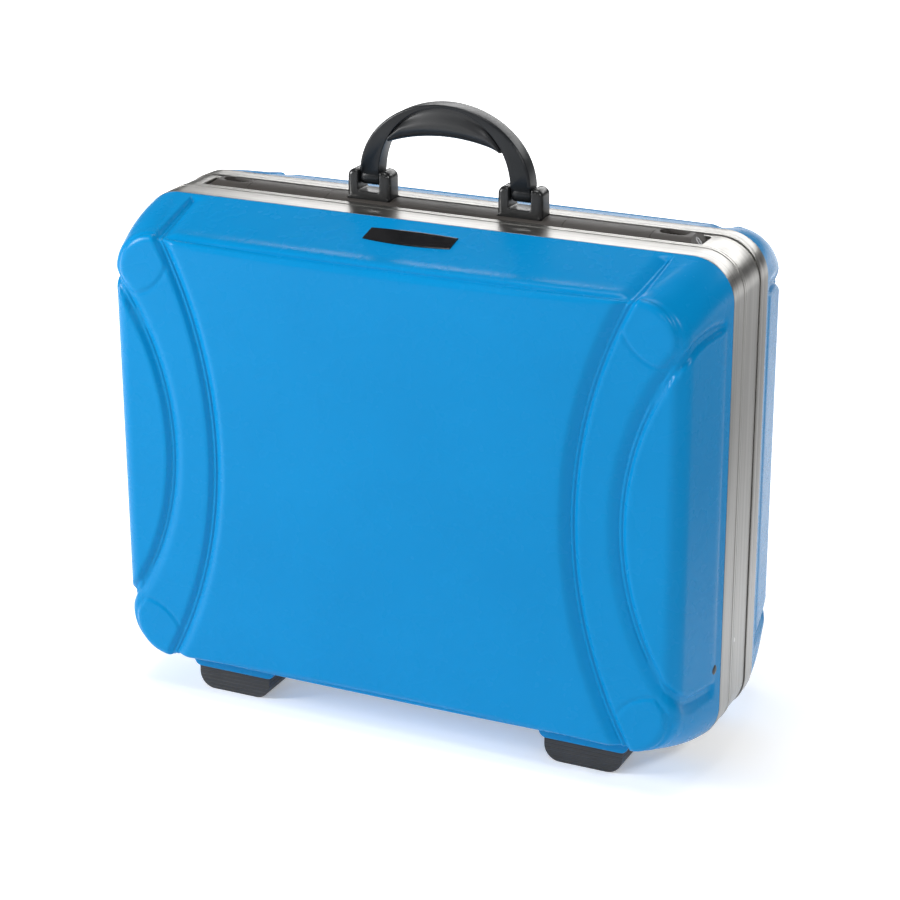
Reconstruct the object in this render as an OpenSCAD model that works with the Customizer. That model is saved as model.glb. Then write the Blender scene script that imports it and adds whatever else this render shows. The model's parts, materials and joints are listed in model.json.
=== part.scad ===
// Hard tool case. Two moulded shells sit in aluminium frames that part along one plane and
// hinge along the bottom edge. A drop handle and two lever latches lie in a strip let into
// the top of the rear frame, and a slotted stay on each side stops the lid at a right angle.
// X runs to the right, Y to the back and Z up. The origin is on the floor under the middle
// of the closed case, the lid is the front half and the base is the rear half.

/* [Case] */
// Width across the aluminium frames
case_w = 490; // [440:1:600]
// Height across the aluminium frames
case_h = 384; // [330:1:460]
// Outer corner radius of the frames
corner_r = 33; // [26:1:40]
// Height of the frames above the floor
foot_lift = 17; // [15:0.5:24]

/* [Shells] */
// Depth of each moulded shell from its frame to its flat face
shell_d = 67; // [55:1:85]
// Wall of the moulded shells
shell_wall = 3.2; // [2.4:0.1:4]
// How far the left and right walls of the lid lean in over the depth
side_lean = 11.5; // [6:0.5:22]
// How far the top and bottom walls of the lid lean in over the depth
top_lean = 17.5; // [8:0.5:26]
// The same for the left and right walls of the base
base_side_lean = 11.5; // [6:0.5:22]
// The same for the top and bottom walls of the base
base_top_lean = 17; // [8:0.5:26]
// Radius of the soft edge round the flat face
edge_r = 14; // [8:1:20]
// Corner radius of the outline where it reaches the face
face_corner_r = 40; // [34:1:60]
// How far the shell stands back from the outside of its frame
shell_step = 0.6; // [0.2:0.1:1.2]
// Depth of the shell rim that is held inside the frame
rim_d = 13; // [9:0.5:18]

/* [Grooves] */
// Radius of the inner pair of bowed grooves
inner_arc_r = 369; // [320:1:420]
// Half distance between the inner grooves at mid height
inner_arc_x = 150; // [130:1:165]
// Radius of the outer pair of bowed grooves
outer_arc_r = 226; // [200:1:260]
// Half distance between the outer grooves at mid height
outer_arc_x = 186; // [176:1:196]
// Radius of the round section that cuts each groove
groove_r = 4; // [3:0.25:6]
// Depth of the grooves
groove_depth = 1.8; // [0.8:0.1:2.2]

/* [Frames] */
// Depth of the lid frame
lid_frame_d = 24.5; // [22:0.5:30]
// Depth of the base frame
base_frame_d = 50.1; // [48:0.1:60]
// Outer wall of the frame extrusion
frame_wall = 2.2; // [1.6:0.1:3]
// Inner wall of the frame extrusion
inner_wall = 2; // [1.5:0.1:3]
// Gap between the two frames when the lid is shut
parting_gap = 0.3; // [0.2:0.05:0.6]
// Depth of the flat channel along the middle of the base frame
band_drop = 1; // [0.4:0.1:1.2]
// Width of the raised bead beside that channel
bead_w = 6; // [4:0.5:8]
// Width of the plain band along the rear edge of the base frame
rear_band_w = 10.6; // [8:0.2:14]
// Width of the bead along the parting edge of the lid frame
lid_bead_w = 3; // [2:0.5:4]

/* [Top strip] */
// Length of the strip from end to end
strip_len = 416; // [400:1:424]
// Width of the strip
strip_w = 26; // [24:0.5:28]
// Distance of the strip behind the parting plane
strip_back = 3.3; // [3:0.1:5]
// Height of the crown of the strip above the frame
strip_crown = 3; // [1.5:0.1:4]
// Length of the handle plate in the middle of the strip
handle_plate_len = 196.8; // [180:0.2:210]
// Length of each latch lever
lever_len = 69.6; // [60:0.2:76]
// Running gap at the seams of the strip
seam_gap = 0.3; // [0.2:0.05:0.6]

/* [Latches] */
// Radius of the barrel at the rear edge of a latch lever
lever_barrel_r = 2.9; // [2.5:0.1:3.2]
// Radius of the latch hinge pins
latch_pin_r = 1.25; // [0.8:0.05:1.5]
// Thickness of a latch lever at its front edge
lever_t = 3.5; // [2.5:0.1:4]
// Width of the steel claw under each lever
claw_w = 24; // [14:1:34]
// Clearance left between a claw and its keeper
claw_gap = 0.5; // [0.4:0.1:1]
// Sheet thickness of claws, keepers and stays
sheet_t = 2; // [1.5:0.1:2.5]
// Length of the finger scoop in each lock housing
scoop_len = 23; // [20:0.5:24]
// Width of the finger scoop
scoop_w = 13; // [10:0.5:15]
// Depth of the finger scoop below the crown
scoop_depth = 6; // [4:0.5:7]
// Travel of a thumb slide
slide_travel = 5; // [3:0.5:7]
// Radius of a key cylinder
key_r = 3.5; // [3:0.1:4]
// Tilt of the key cylinders above the horizontal
key_tilt = 40; // [30:1:50]

/* [Handle] */
// Distance between the two handle legs, centre to centre
handle_pitch = 126; // [110:1:140]
// Width of each handle leg
leg_w = 16.3; // [13:0.1:18]
// Front to back depth of the handle arch
arch_d = 15; // [12:0.5:16]
// Height of the pin axis above the frames
pin_rise = 18.5; // [17:0.5:22]
// Height of the arch above the pin axis
arch_h = 62.5; // [54:0.5:74]
// Thickness of the arch at its top
arch_top_t = 2.5; // [2:0.1:6]
// Front to back thickness of the grip
grip_d = 20; // [16:0.5:22]
// Height of the grip at its middle
grip_h = 23; // [18:0.5:28]
// Thickness of the grip at its top, under the web of the arch
grip_top_d = 12; // [8:0.5:15]
// Radius of the hollow underside of the grip
grip_arc_r = 145; // [110:1:200]
// Radius of the handle pins
handle_pin_r = 2.5; // [2:0.1:3]
// Width of each handle bracket
bracket_w = 36.5; // [34:0.5:42]
// Front to back depth of a handle bracket
bracket_d = 18; // [16:0.5:20]
// Gap between a handle leg and the posts beside it
leg_gap = 0.9; // [0.5:0.1:1.5]

/* [Hinge] */
// Length of the hinge along the bottom edge
hinge_len = 330; // [240:1:360]
// Number of hinge knuckles, an odd number
knuckles = 11; // [7:2:15]
// Outer radius of the hinge knuckles
knuckle_r = 3.2; // [2.8:0.1:3.6]
// Radius of the hinge pin
hinge_pin_r = 1.5; // [1.2:0.1:1.8]
// Thickness of the hinge leaves
leaf_t = 1.5; // [1:0.1:2]
// Number of rivets in each hinge leaf
leaf_rivets = 6; // [4:1:8]
// Opening angle of the lid
lid_open = 90; // [60:5:90]

/* [Stays] */
// Distance of both stay pivots from the hinge axis
stay_reach = 80; // [70:1:88]
// Lean of the pivot on the lid, forward of the vertical
lid_pivot_lean = 26.1; // [24:0.1:30]
// Lean of the stud on the base, back from the vertical
base_stud_lean = 3.8; // [2:0.1:8]
// Width of a stay arm
stay_w = 14; // [12:0.5:16]
// Radius of the stud that runs in the slot of a stay
stud_r = 2.9; // [2:0.1:3.5]
// Distance of the stays inside the outer face of the frames
stay_inset = 22; // [19:0.5:26]

/* [Feet and badge] */
// Width of each foot
foot_w = 64; // [50:1:70]
// Front to back length of each foot
foot_d = 32; // [24:1:36]
// Height of each foot
foot_h = 18.5; // [17:0.5:20]
// Radius of the lower corners of a foot
foot_r = 13; // [8:0.5:16]
// Distance of each foot from the middle of the case
foot_x = 152; // [130:1:160]
// Distance of the outer end of the feet behind the shell face
foot_back = 23; // [18:1:28]
// Width of the moulded boss above each foot
boss_w = 73; // [66:1:80]
// Width of the badge plate
badge_w = 71; // [50:1:90]
// Front to back length of the badge plate
badge_d = 18.5; // [12:0.5:22]
// Thickness of the badge plate
badge_t = 1.2; // [1.1:0.1:2]

/* [Hidden] */
$fn = 64;

// Driving planes
frames_d = lid_frame_d + base_frame_d;
lid_front_y = -frames_d / 2;                 // front edge of the lid frame
base_back_y = frames_d / 2;                  // rear edge of the base frame
parting_y = lid_front_y + lid_frame_d;       // plane on which the case opens
mid_z = foot_lift + case_h / 2;
top_z = foot_lift + case_h;
fit = 0.05;                                  // radial clearance of a turning pin
eps = 0.01;
channel_u = frame_wall + shell_wall + 0.3;   // outer face of the frame's inner wall, from outside
frame_u = channel_u + inner_wall;            // whole section height of the frame
base_front_y = parting_y + parting_gap / 2;
lid_back_y = parting_y - parting_gap / 2;
plain_drop = 0.4;                            // step from a bead down to a plain band
band_y0 = base_front_y + 2.5;                // front edge of the flat channel
band_y1 = base_back_y - rear_band_w - bead_w;
lip_back = 4;                                // how far an inner wall stops short of the shell
screw_r = 2;

// Strip and latches
strip_y = parting_y + strip_back + strip_w / 2;
crown_z = top_z + strip_crown;
dome_r = (pow(strip_w / 2, 2) + pow(strip_crown, 2)) / (2 * strip_crown);
seat_z = top_z - channel_u;                  // top of the inner wall, which carries the strip
flange_z = top_z - frame_u;                  // underside of that wall
plate_x = handle_plate_len / 2;
block_x = plate_x + lever_len;
block_end_x = strip_len / 2 - 2;
lever_x = plate_x + lever_len / 2;
lever_y = strip_y + strip_w / 2 - 0.5 - lever_barrel_r;
lever_z = crown_z - dome_r + sqrt(pow(dome_r - lever_barrel_r - 0.05, 2) - pow(lever_y - strip_y, 2));
latch_pin_hold = 5;
tray_t = 2;
tray_y0 = strip_y - strip_w / 2 + 0.5;
tray_y1 = strip_y + strip_w / 2 - 0.5;
tray_h = 8;
housing_z = seat_z - tray_h;                 // underside of the lock housings
flange_front = tray_y0 - base_front_y - 0.25;
flange_back = 6;
keeper_z = housing_z;                        // underside of the keeper tongue
keeper_nose = 5;                             // height of the keeper's upturned nose
keeper_reach = 12;
keeper_y = parting_y + keeper_reach;         // rear face of the keeper's nose
keeper_foot = 7;                             // front edge of the keeper behind the lid frame's edge
claw_toe = 5.5;
claw_hook = 1.3;                             // how far the toe of a claw reaches over the nose
claw_y = keeper_y - sheet_t + claw_hook - claw_toe;   // front face of a claw
claw_z = keeper_z + keeper_nose + claw_gap;
scoop_x = block_x + 3.5 + scoop_len / 2;
scoop_y = strip_y + 1.5;
scoop_z = crown_z - scoop_depth;
slide_l = 10;
slide_w = 8;
slide_t = 2.6;
slide_x = scoop_x - scoop_len / 2 + 1.5 + slide_l / 2;
stem_l = 3.6;
stem_w = 4;
stem_gap = 0.2;
catch_x = block_x - 7;                       // free end of the catch, under the lever
catch_z = housing_z + tray_t + 1.2;
catch_t = 2;
key_x = block_end_x - 4;
key_z = top_z - 1.5;
key_len = 9;

// Handle
pin_y = strip_y;
pin_z = top_z + pin_rise;
leg_x = handle_pitch / 2;
barrel_r = arch_d / 2 - 0.5;
saddle_z = pin_z - barrel_r - 3.6;
pad_z = top_z + 0.8;                         // flat seat of a bracket on the strip
post_top = pin_z + 6;
post_side_r = 7;                             // round tops of the posts, seen from the side
post_end_r = 5.5;                            // and seen from the front
post_gap = leg_w / 2 + leg_gap;
pin_hold = post_gap + 6;
bracket_screw_x = (post_gap + bracket_w / 2) / 2;
bracket_screw_l = 8;
screw_head_r = 3.6;
screw_head_t = 2.2;
grip_low_z = pin_z + arch_h - arch_top_t - grip_h;
grip_over = 5;                               // how far its section runs on past its top
ARCH_STEPS = 40;
arch_z = pin_z + 3.5;                        // height of the centre of the arch
arch_out = leg_x + leg_w / 2;
arch_in = leg_x - leg_w / 2;
arch_top = arch_h - 3.5;
grip_x = arch_in - 9;

// Hinge
hinge_z = foot_lift - knuckle_r - 0.3;
knuckle_l = hinge_len / knuckles;
leaf_w = lid_frame_d - 5;
leaf_gap = 0.4;
tab_reach = 5;
rivet_r = 1.5;
rivet_head_r = 2.6;
lid_rivet_in = 8.5;
base_rivet_in = 12;
lid_rivet_y = parting_y - lid_rivet_in;
base_rivet_y = parting_y + base_rivet_in;
function rivet_x(i) = hinge_len * ((i + 0.5) / leaf_rivets - 0.5);

// Stays
lid_pivot = [parting_y - stay_reach * sin(lid_pivot_lean), hinge_z + stay_reach * cos(lid_pivot_lean)];
base_stud = [parting_y + stay_reach * sin(base_stud_lean), hinge_z + stay_reach * cos(base_stud_lean)];
fork_angle = lid_pivot_lean + base_stud_lean;
slot_start = 2 * stay_reach * sin(fork_angle / 2);
slot_end = 2 * stay_reach * sin((fork_angle + lid_open) / 2);
slot_play = 0.3;
stay_angle = atan2(base_stud[1] - lid_pivot[1], base_stud[0] - lid_pivot[0]);
stay_x = case_w / 2 - stay_inset;            // middle plane of the stay arms
stay_gap = 0.3;
stay_in_x = stay_x - sheet_t / 2 - stay_gap; // where the heads inside the arms start
stay_out_x = stay_x + sheet_t / 2 + stay_gap;
stay_head_t = 1.5;
shoulder_r = 5;
stud_tail_r = 2;
pivot_r = 2.5;
pivot_head_r = 4.2;
pivot_head_t = 1.4;
pivot_t = lid_front_y - lid_pivot[0];
pivot_head_x = case_w / 2 - shell_step - inset(pivot_t, side_lean, edge_r) - pivot_head_t;
pivot_shoulder_x = case_w / 2 - shell_step - shell_wall - fit
                   - inset(pivot_t + shoulder_r, side_lean, edge_r);

// Feet and badge
boss_z = foot_h;
boss_r = 5;
foot_out_y = frames_d / 2 + shell_d - foot_back;
foot_screw_y = foot_out_y - foot_d / 2;
screw_seat_z = 8;                            // seat of a screw head inside a foot
screw_reach = 8;                             // depth of the screw hole in a boss
foot_bore_r = 5;
foot_head_r = 4;
foot_head_t = 2.4;
badge_from_frame = 24.9;
badge_sink = 1;
badge_bow = 4.8;                             // how far the lower edge of the badge bows out

// Where the flat of the soft edge starts, beyond the lean of a wall
function lean_angle(lean) = atan2(lean, shell_d);
function edge_run(lean, r) = r * tan((90 - lean_angle(lean)) / 2);
// How far a wall stands in from the frame at depth t: a straight lean, then the soft edge
function inset(t, lean, r) =
    let (start = shell_d - r + r * sin(lean_angle(lean)))
    t < start ? lean * t / shell_d
              : lean + edge_run(lean, r) - sqrt(max(0, r * r - pow(t - shell_d + r, 2)));
// The leans of the walls as [side, top]
lid_leans = [side_lean, top_lean];
base_leans = [base_side_lean, base_top_lean];
// Depths at which the loft has a ring, from the frame to the face
function loft_depths(leans) =
    let (start = shell_d - edge_r + edge_r * sin(lean_angle(leans[1])))
    concat([for (i = [0:3]) start * i / 3],
           [for (i = [1:6]) start + (shell_d - start) * sin(90 * i / 6)]);
CORNER_STEPS = 7;
// One ring of the loft: a rectangle with round corners at depth t, w wide of the outer skin
function ring(t, skin, leans) =
    let (
        a = case_w / 2 - shell_step - skin - inset(t, leans[0], edge_r),
        b = case_h / 2 - shell_step - skin - inset(t, leans[1], edge_r),
        soft = inset(t, leans[0], edge_r) - leans[0] * t / shell_d,
        r = max(8, corner_r + (face_corner_r - corner_r) * t / shell_d - soft - skin)
    )
    round_ring(a, b, r, t);
function round_ring(a, b, r, t) = [
    for (c = [0:3], k = [0:CORNER_STEPS])
        let (ang = 90 * c + 90 * k / CORNER_STEPS,
             sx = (c == 0 || c == 3) ? 1 : -1,
             sz = (c < 2) ? 1 : -1)
        [sx * (a - r) + r * cos(ang), t, sz * (b - r) + r * sin(ang)]
];

// ---- shared shapes ------------------------------------------------------------------

// A rectangle w by h with round corners of radius r, centred
module round_rect(w, h, r) {
    square([w - 2 * r, h], center = true);
    square([w, h - 2 * r], center = true);
    for (x = [-1, 1], y = [-1, 1])
        translate([x * (w / 2 - r), y * (h / 2 - r)]) circle(r);
}

// A band that follows the outline of the frames between the planes y0 and y1,
// from u0 to u1 inside their outer surface
module frame_band(y0, y1, u0, u1) {
    translate([0, y1, mid_z]) rotate([90, 0, 0]) linear_extrude(y1 - y0) difference() {
        round_rect(case_w - 2 * u0, case_h - 2 * u0, corner_r - u0);
        round_rect(case_w - 2 * u1, case_h - 2 * u1, corner_r - u1);
    }
}

// A cylinder along X from x0 to x1 through the point y, z
module rod_x(x0, x1, y, z, r) {
    translate([x0, y, z]) rotate([0, 90, 0]) cylinder(h = x1 - x0, r = r);
}

// Carries an outline drawn in the Y-Z plane along X from x0 to x1
module along_x(x0, x1) {
    translate([x0, 0, 0]) rotate([90, 0, 90]) linear_extrude(x1 - x0) children();
}

// Draws its children and their mirror image in the middle plane of the case
module both_sides() {
    children();
    mirror([1, 0, 0]) children();
}

// Turns a shape made for the base, behind the frames, round to the lid
module front_side() {
    mirror([0, 1, 0]) children();
}

// ---- shells ---------------------------------------------------------------------------

// Closes a stack of loops, each with the same number of points, into one solid
module loft(loops) {
    n = len(loops[0]);
    last = (len(loops) - 1) * n;
    walls = [for (i = [0:n:last - n], k = [0:n - 1], half = [0:1])
        let (k2 = (k + 1) % n, a = i + k, b = i + k2, c = a + n, d = b + n)
        half == 0 ? [a, d, b] : [a, c, d]];
    polyhedron([for (l = loops, p = l) p],
               concat(walls, [[for (k = [0:n - 1]) k]], [[for (k = [n - 1:-1:0]) last + k]]));
}

// The inner skin of a shell, from the flat face back to the frame
function inner_skin(leans) =
    [for (t = loft_depths(leans)) ring(t * (shell_d - shell_wall) / shell_d, shell_wall, leans)];
function reversed(list) = [for (i = [len(list) - 1:-1:0]) list[i]];

// The hollow loft of a shell that opens towards -Y: outer skin, rim, inner skin
module shell_loft(leans) {
    rim_u = frame_wall + eps;
    outer = reversed([for (t = loft_depths(leans)) ring(t, 0, leans)]);
    rim = [for (t = [0, -rim_d])
        round_ring(case_w / 2 - rim_u, case_h / 2 - rim_u, corner_r - rim_u, t)];
    rim_in = round_ring(case_w / 2 - rim_u - shell_wall, case_h / 2 - rim_u - shell_wall,
                        corner_r - rim_u - shell_wall, -rim_d);
    loft(concat(outer, rim, [rim_in], inner_skin(leans)));
}

// One bowed groove: a large ring whose round section dips into the flat face
module bowed_groove(arc_r, apex_x) {
    translate([apex_x + arc_r, shell_d - groove_depth + groove_r, 0]) rotate([90, 0, 0])
        rotate_extrude($fn = 128) translate([arc_r, 0]) circle(groove_r, $fn = 24);
}

// The moulded pad above a foot, which fills the wedge under the leaning bottom wall
module foot_boss(leans) {
    y0 = 2;
    y1 = shell_d - foot_back + 2;
    low = boss_z - mid_z;
    high = inset(y1, leans[1], edge_r) + shell_wall / 2 - case_h / 2;
    translate([0, y1, 0]) rotate([90, 0, 0]) linear_extrude(y1 - y0) {
        translate([-boss_w / 2, low + boss_r]) square([boss_w, high - low - boss_r]);
        translate([-boss_w / 2 + boss_r, low]) square([boss_w - 2 * boss_r, high - low]);
        for (x = [-1, 1]) translate([x * (boss_w / 2 - boss_r), low + boss_r]) circle(boss_r);
    }
}

// The space inside a shell, which a boss must not fill
module shell_hollow(leans) {
    loft(reversed(inner_skin(leans)));
}

// A whole shell, drawn on the base side with the frame edge at the plane of base_back_y
module shell_body(leans) {
    translate([0, base_back_y, mid_z]) difference() {
        union() {
            shell_loft(leans);
            both_sides() difference() {
                translate([foot_x, 0, 0]) foot_boss(leans);
                shell_hollow(leans);
            }
        }
        both_sides() {
            bowed_groove(inner_arc_r, inner_arc_x);
            bowed_groove(outer_arc_r, outer_arc_x);
        }
    }
}

// A shell seen from behind the case, with the screw holes of its feet
module shell_with_holes(leans) {
    difference() {
        shell_body(leans);
        both_sides() translate([foot_x, foot_screw_y, boss_z - 1])
            cylinder(h = screw_reach + 1, r = screw_r);
    }
}

module base_shell() color("#0b8bd4") shell_with_holes(base_leans);

module lid_shell() color("#0b8bd4") difference() {
    front_side() shell_with_holes(lid_leans);
    badge_place() linear_extrude(edge_r) badge_outline(badge_w, badge_d);
    both_sides() {
        rod_x(stay_x, case_w / 2, lid_pivot[0], lid_pivot[1], pivot_r);
        rod_x(pivot_head_x, case_w / 2, lid_pivot[0], lid_pivot[1], pivot_head_r);
    }
}

// ---- frames ---------------------------------------------------------------------------

// The lid frame: an open channel that grips the rim of the lid shell
module lid_frame() color("#d9dadb") difference() {
    union() {
        frame_band(lid_front_y, lid_back_y - lid_bead_w, plain_drop, frame_wall);
        frame_band(lid_back_y - lid_bead_w, lid_back_y, 0, frame_wall);
        frame_band(lid_back_y - inner_wall, lid_back_y, 0, frame_u);
        frame_band(lid_front_y + lip_back, lid_back_y, channel_u, frame_u);
    }
    rivet_row(lid_rivet_y);
}

// The base frame: the same channel, with a flat band along its middle and a raised bead
module base_frame() color("#d9dadb") difference() {
    union() {
        frame_band(base_front_y, band_y0, 0, frame_wall);
        frame_band(band_y0, band_y1, band_drop, frame_wall + band_drop);
        frame_band(band_y1, band_y1 + bead_w, 0, frame_wall);
        frame_band(band_y1 + bead_w, base_back_y, plain_drop, frame_wall);
        frame_band(base_front_y, base_front_y + inner_wall, 0, frame_u);
        frame_band(base_front_y, base_back_y - lip_back, channel_u, frame_u);
    }
    strip_opening();
    both_sides() {
        translate([plate_x, strip_y - strip_w / 2, housing_z - 1])
            cube([strip_len / 2 - plate_x, strip_w, seat_z - housing_z + 2]);
        rod_x(case_w / 2 - 2 * frame_u, case_w / 2 + 1, base_stud[0], base_stud[1], stud_tail_r);
        for (x = [-1, 1]) translate([leg_x + x * bracket_screw_x, pin_y, 0])
            cylinder(h = top_z, r = screw_r);
    }
    rivet_row(base_rivet_y);
}

// The long opening in the top of the base frame that the strip fills
module strip_opening() {
    translate([0, strip_y, seat_z]) linear_extrude(frame_u + 1)
        round_rect(strip_len, strip_w, 4);
}

// Holes for one row of hinge rivets, through the frame and the leaf
module rivet_row(y) {
    for (i = [0:leaf_rivets - 1]) translate([rivet_x(i), y, 0])
        cylinder(h = foot_lift + 2 * frame_wall, r = rivet_r);
}

// ---- hinge ----------------------------------------------------------------------------

// A hinge leaf that lies in a frame channel, drop deep, from y0 to y1. It carries every
// second knuckle, starting from number first
module hinge_leaf(first, drop, y0, y1) {
    side = sign(y1 - parting_y);
    difference() {
        union() {
            translate([-hinge_len / 2, min(y0, y1), foot_lift + drop - leaf_t])
                cube([hinge_len, abs(y1 - y0), leaf_t]);
            for (i = [first:2:knuckles - 1]) {
                x0 = -hinge_len / 2 + i * knuckle_l + leaf_gap / 2;
                rod_x(x0, x0 + knuckle_l - leaf_gap, parting_y, hinge_z, knuckle_r);
                translate([x0, parting_y - (side < 0 ? tab_reach : 0), foot_lift - leaf_t])
                    cube([knuckle_l - leaf_gap, tab_reach, leaf_t]);
            }
        }
        rod_x(-hinge_len, hinge_len, parting_y, hinge_z, hinge_pin_r + (side < 0 ? fit : 0));
        rivet_row(side < 0 ? lid_rivet_y : base_rivet_y);
    }
}

module base_hinge_leaf() color("#b9bcbf") hinge_leaf(0, band_drop, band_y0 + 0.2, parting_y + leaf_w);
module lid_hinge_leaf() color("#b9bcbf")
    hinge_leaf(1, plain_drop, lid_back_y - lid_bead_w - 0.2, parting_y - leaf_w);
module hinge_pin() color("#c8cbce")
    rod_x(-hinge_len / 2 - 1, hinge_len / 2 + 1, parting_y, hinge_z, hinge_pin_r);

// A row of rivets with a head under the leaf and one on the inside of the frame wall,
// which runs from u0 to u1 inside the outer surface of the frame
module rivets(y, u0, u1) {
    head_t = 1;
    low = foot_lift + u0 - leaf_t;
    high = foot_lift + u1;
    for (i = [0:leaf_rivets - 1]) translate([rivet_x(i), y, 0]) {
        translate([0, 0, low - head_t]) cylinder(h = head_t, r = rivet_head_r);
        translate([0, 0, low]) cylinder(h = high - low, r = rivet_r);
        translate([0, 0, high]) cylinder(h = head_t, r = rivet_head_r);
    }
}
module base_hinge_rivets() color("#c8cbce")
    rivets(base_rivet_y, band_drop, band_drop + frame_wall);
module lid_hinge_rivets() color("#c8cbce") rivets(lid_rivet_y, plain_drop, frame_wall);

// ---- top strip ------------------------------------------------------------------------

// The domed outline of the strip in the Y-Z plane, down to the height low
module strip_profile(low) {
    intersection() {
        translate([strip_y, crown_z - dome_r]) circle(dome_r, $fn = 180);
        translate([strip_y - strip_w / 2 + seam_gap, low])
            square([strip_w - 2 * seam_gap, crown_z - low]);
    }
}

module handle_plate() color("#4f4a47") difference() {
    along_x(-plate_x + seam_gap / 2, plate_x - seam_gap / 2) strip_profile(seat_z);
    both_sides() {
        translate([leg_x - bracket_w / 2, pin_y - bracket_d / 2, pad_z])
            cube([bracket_w, bracket_d, strip_w]);
        for (x = [-1, 1]) translate([leg_x + x * bracket_screw_x, pin_y, 0])
            cylinder(h = top_z + strip_w, r = screw_r);
        rod_x(plate_x - latch_pin_hold, plate_x, lever_y, lever_z, latch_pin_r);
    }
}

// The lock housing at the right end: a tray under the lever and a block with the finger
// scoop, the slot of the thumb slide and the key cylinder in its sloping end
module lock_housing() color("#4a4542") difference() {
    union() {
        along_x(plate_x + seam_gap, block_x) tray_profile();
        along_x(plate_x + seam_gap, plate_x + seam_gap + tray_t)
            translate([tray_y0, housing_z]) square([tray_y1 - tray_y0, seat_z - 1 - housing_z]);
        along_x(block_x, block_end_x) {
            strip_profile(seat_z);
            translate([tray_y0, housing_z]) square([tray_y1 - tray_y0, seat_z - housing_z + eps]);
            housing_flanges();
        }
    }
    claw_window();
    translate([scoop_x, scoop_y, scoop_z]) linear_extrude(scoop_depth + 1)
        round_rect(scoop_len, scoop_w, scoop_w / 2 - 0.5);
    stem_slot();
    key_frame() {
        translate([-strip_w, -strip_w, 0]) cube([2 * strip_w, 2 * strip_w, strip_w]);
        translate([0, 0, -key_len]) cylinder(h = key_len + 1, r = key_r + fit);
    }
    rod_x(block_x - 1, block_x + latch_pin_hold, lever_y, lever_z, latch_pin_r);
}

// The slot in which the stem of a thumb slide runs, and the channel for its catch
module stem_slot() {
    y0 = scoop_y - stem_w / 2 - stem_gap;
    w = stem_w + 2 * stem_gap;                   // widths include the running gap
    translate([slide_x - stem_l / 2 - stem_gap, y0, housing_z - 1])
        cube([stem_l + slide_travel + 2 * stem_gap, w, scoop_z + 2 - housing_z]);
    translate([block_x - 1, y0, catch_z - stem_gap])
        cube([slide_x - block_x + 1, w, catch_t + 2 * stem_gap]);
}

// The U outline of the tray under a lever, with flanges that hang on the frame
module tray_profile() {
    translate([tray_y0, housing_z]) square([tray_y1 - tray_y0, tray_t]);
    for (y = [tray_y0, tray_y1 - tray_t])
        translate([y, housing_z]) square([tray_t, seat_z - 1 - housing_z]);
    housing_flanges();
}
module housing_flanges() {
    translate([tray_y0 - flange_front, flange_z - tray_t]) square([flange_front + tray_t, tray_t]);
    translate([tray_y1 - tray_t, flange_z - tray_t]) square([flange_back + tray_t, tray_t]);
}

// The way in for the keeper and the claw, through the front and floor of the tray
module claw_window() {
    translate([lever_x - claw_w / 2 - 3, tray_y0 - flange_front - 1, housing_z - 1])
        cube([claw_w + 6, keeper_y + 3 - tray_y0 + flange_front, seat_z - housing_z + 1]);
}

// Moves a shape to the outer face of a key cylinder, with its axis along the tilted Z
module key_frame() {
    translate([key_x, pin_y, key_z]) rotate([0, 90 - key_tilt, 0]) children();
}

module right_lock_housing() lock_housing();
module left_lock_housing() mirror([1, 0, 0]) lock_housing();

// A latch lever: the domed lid of the tray, with a barrel at its rear edge for the pin
module latch_lever() color("#514b48") difference() {
    along_x(plate_x + seam_gap / 2, block_x - seam_gap) {
        difference() {
            strip_profile(top_z - lever_t);
            translate([lever_y, housing_z]) square([strip_w, strip_w]);
        }
        translate([lever_y, lever_z]) circle(lever_barrel_r);
    }
    rod_x(plate_x - 1, block_x + 1, lever_y, lever_z, latch_pin_r + fit);
}
module right_latch_lever() latch_lever();
module left_latch_lever() mirror([1, 0, 0]) latch_lever();

// The steel claw under a lever, whose toe hangs just above the nose of the keeper
module latch_claw() color("#b4b7ba")
    along_x(lever_x - claw_w / 2, lever_x + claw_w / 2) {
        translate([claw_y, claw_z]) square([sheet_t, top_z - lever_t - claw_z]);
        translate([claw_y, claw_z]) square([claw_toe, sheet_t]);
        translate([claw_y, top_z - lever_t - 1]) square([claw_toe + 6, 1]);
    }
module right_latch_claw() latch_claw();
module left_latch_claw() mirror([1, 0, 0]) latch_claw();

// The keepers under the top of the lid frame, one for each claw
module latch_keepers() color("#b4b7ba") both_sides()
    along_x(lever_x - claw_w / 2, lever_x + claw_w / 2) {
        a0 = lid_front_y + keeper_foot;
        a1 = lid_back_y - 3;
        translate([a0, flange_z - sheet_t]) square([a1 - a0, sheet_t]);
        translate([a1 - sheet_t, keeper_z]) square([sheet_t, flange_z - keeper_z]);
        translate([a1 - sheet_t, keeper_z]) square([keeper_y - a1 + sheet_t, sheet_t]);
        translate([keeper_y - sheet_t, keeper_z]) square([sheet_t, keeper_nose]);
    }

module latch_hinge_pins() color("#b4b7ba") both_sides()
    rod_x(plate_x - latch_pin_hold, block_x + latch_pin_hold, lever_y, lever_z, latch_pin_r);

// A thumb slide: a ribbed button in the scoop, a stem and a catch that reaches under the lever
module thumb_slide() color("#2b2a2a") {
    translate([slide_x - slide_l / 2, scoop_y - slide_w / 2, scoop_z + stem_gap / 2]) difference() {
        cube([slide_l, slide_w, slide_t]);
        for (i = [1:3]) translate([i * slide_l / 4 - 0.5, -1, slide_t - 0.7]) cube([1, slide_w + 2, 1]);
    }
    translate([slide_x - stem_l / 2, scoop_y - stem_w / 2, catch_z])
        cube([stem_l, stem_w, scoop_z + stem_gap - catch_z]);
    translate([catch_x, scoop_y - stem_w / 2, catch_z]) cube([slide_x - catch_x, stem_w, catch_t]);
}
module right_thumb_slide() thumb_slide();
module left_thumb_slide() mirror([1, 0, 0]) thumb_slide();

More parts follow.
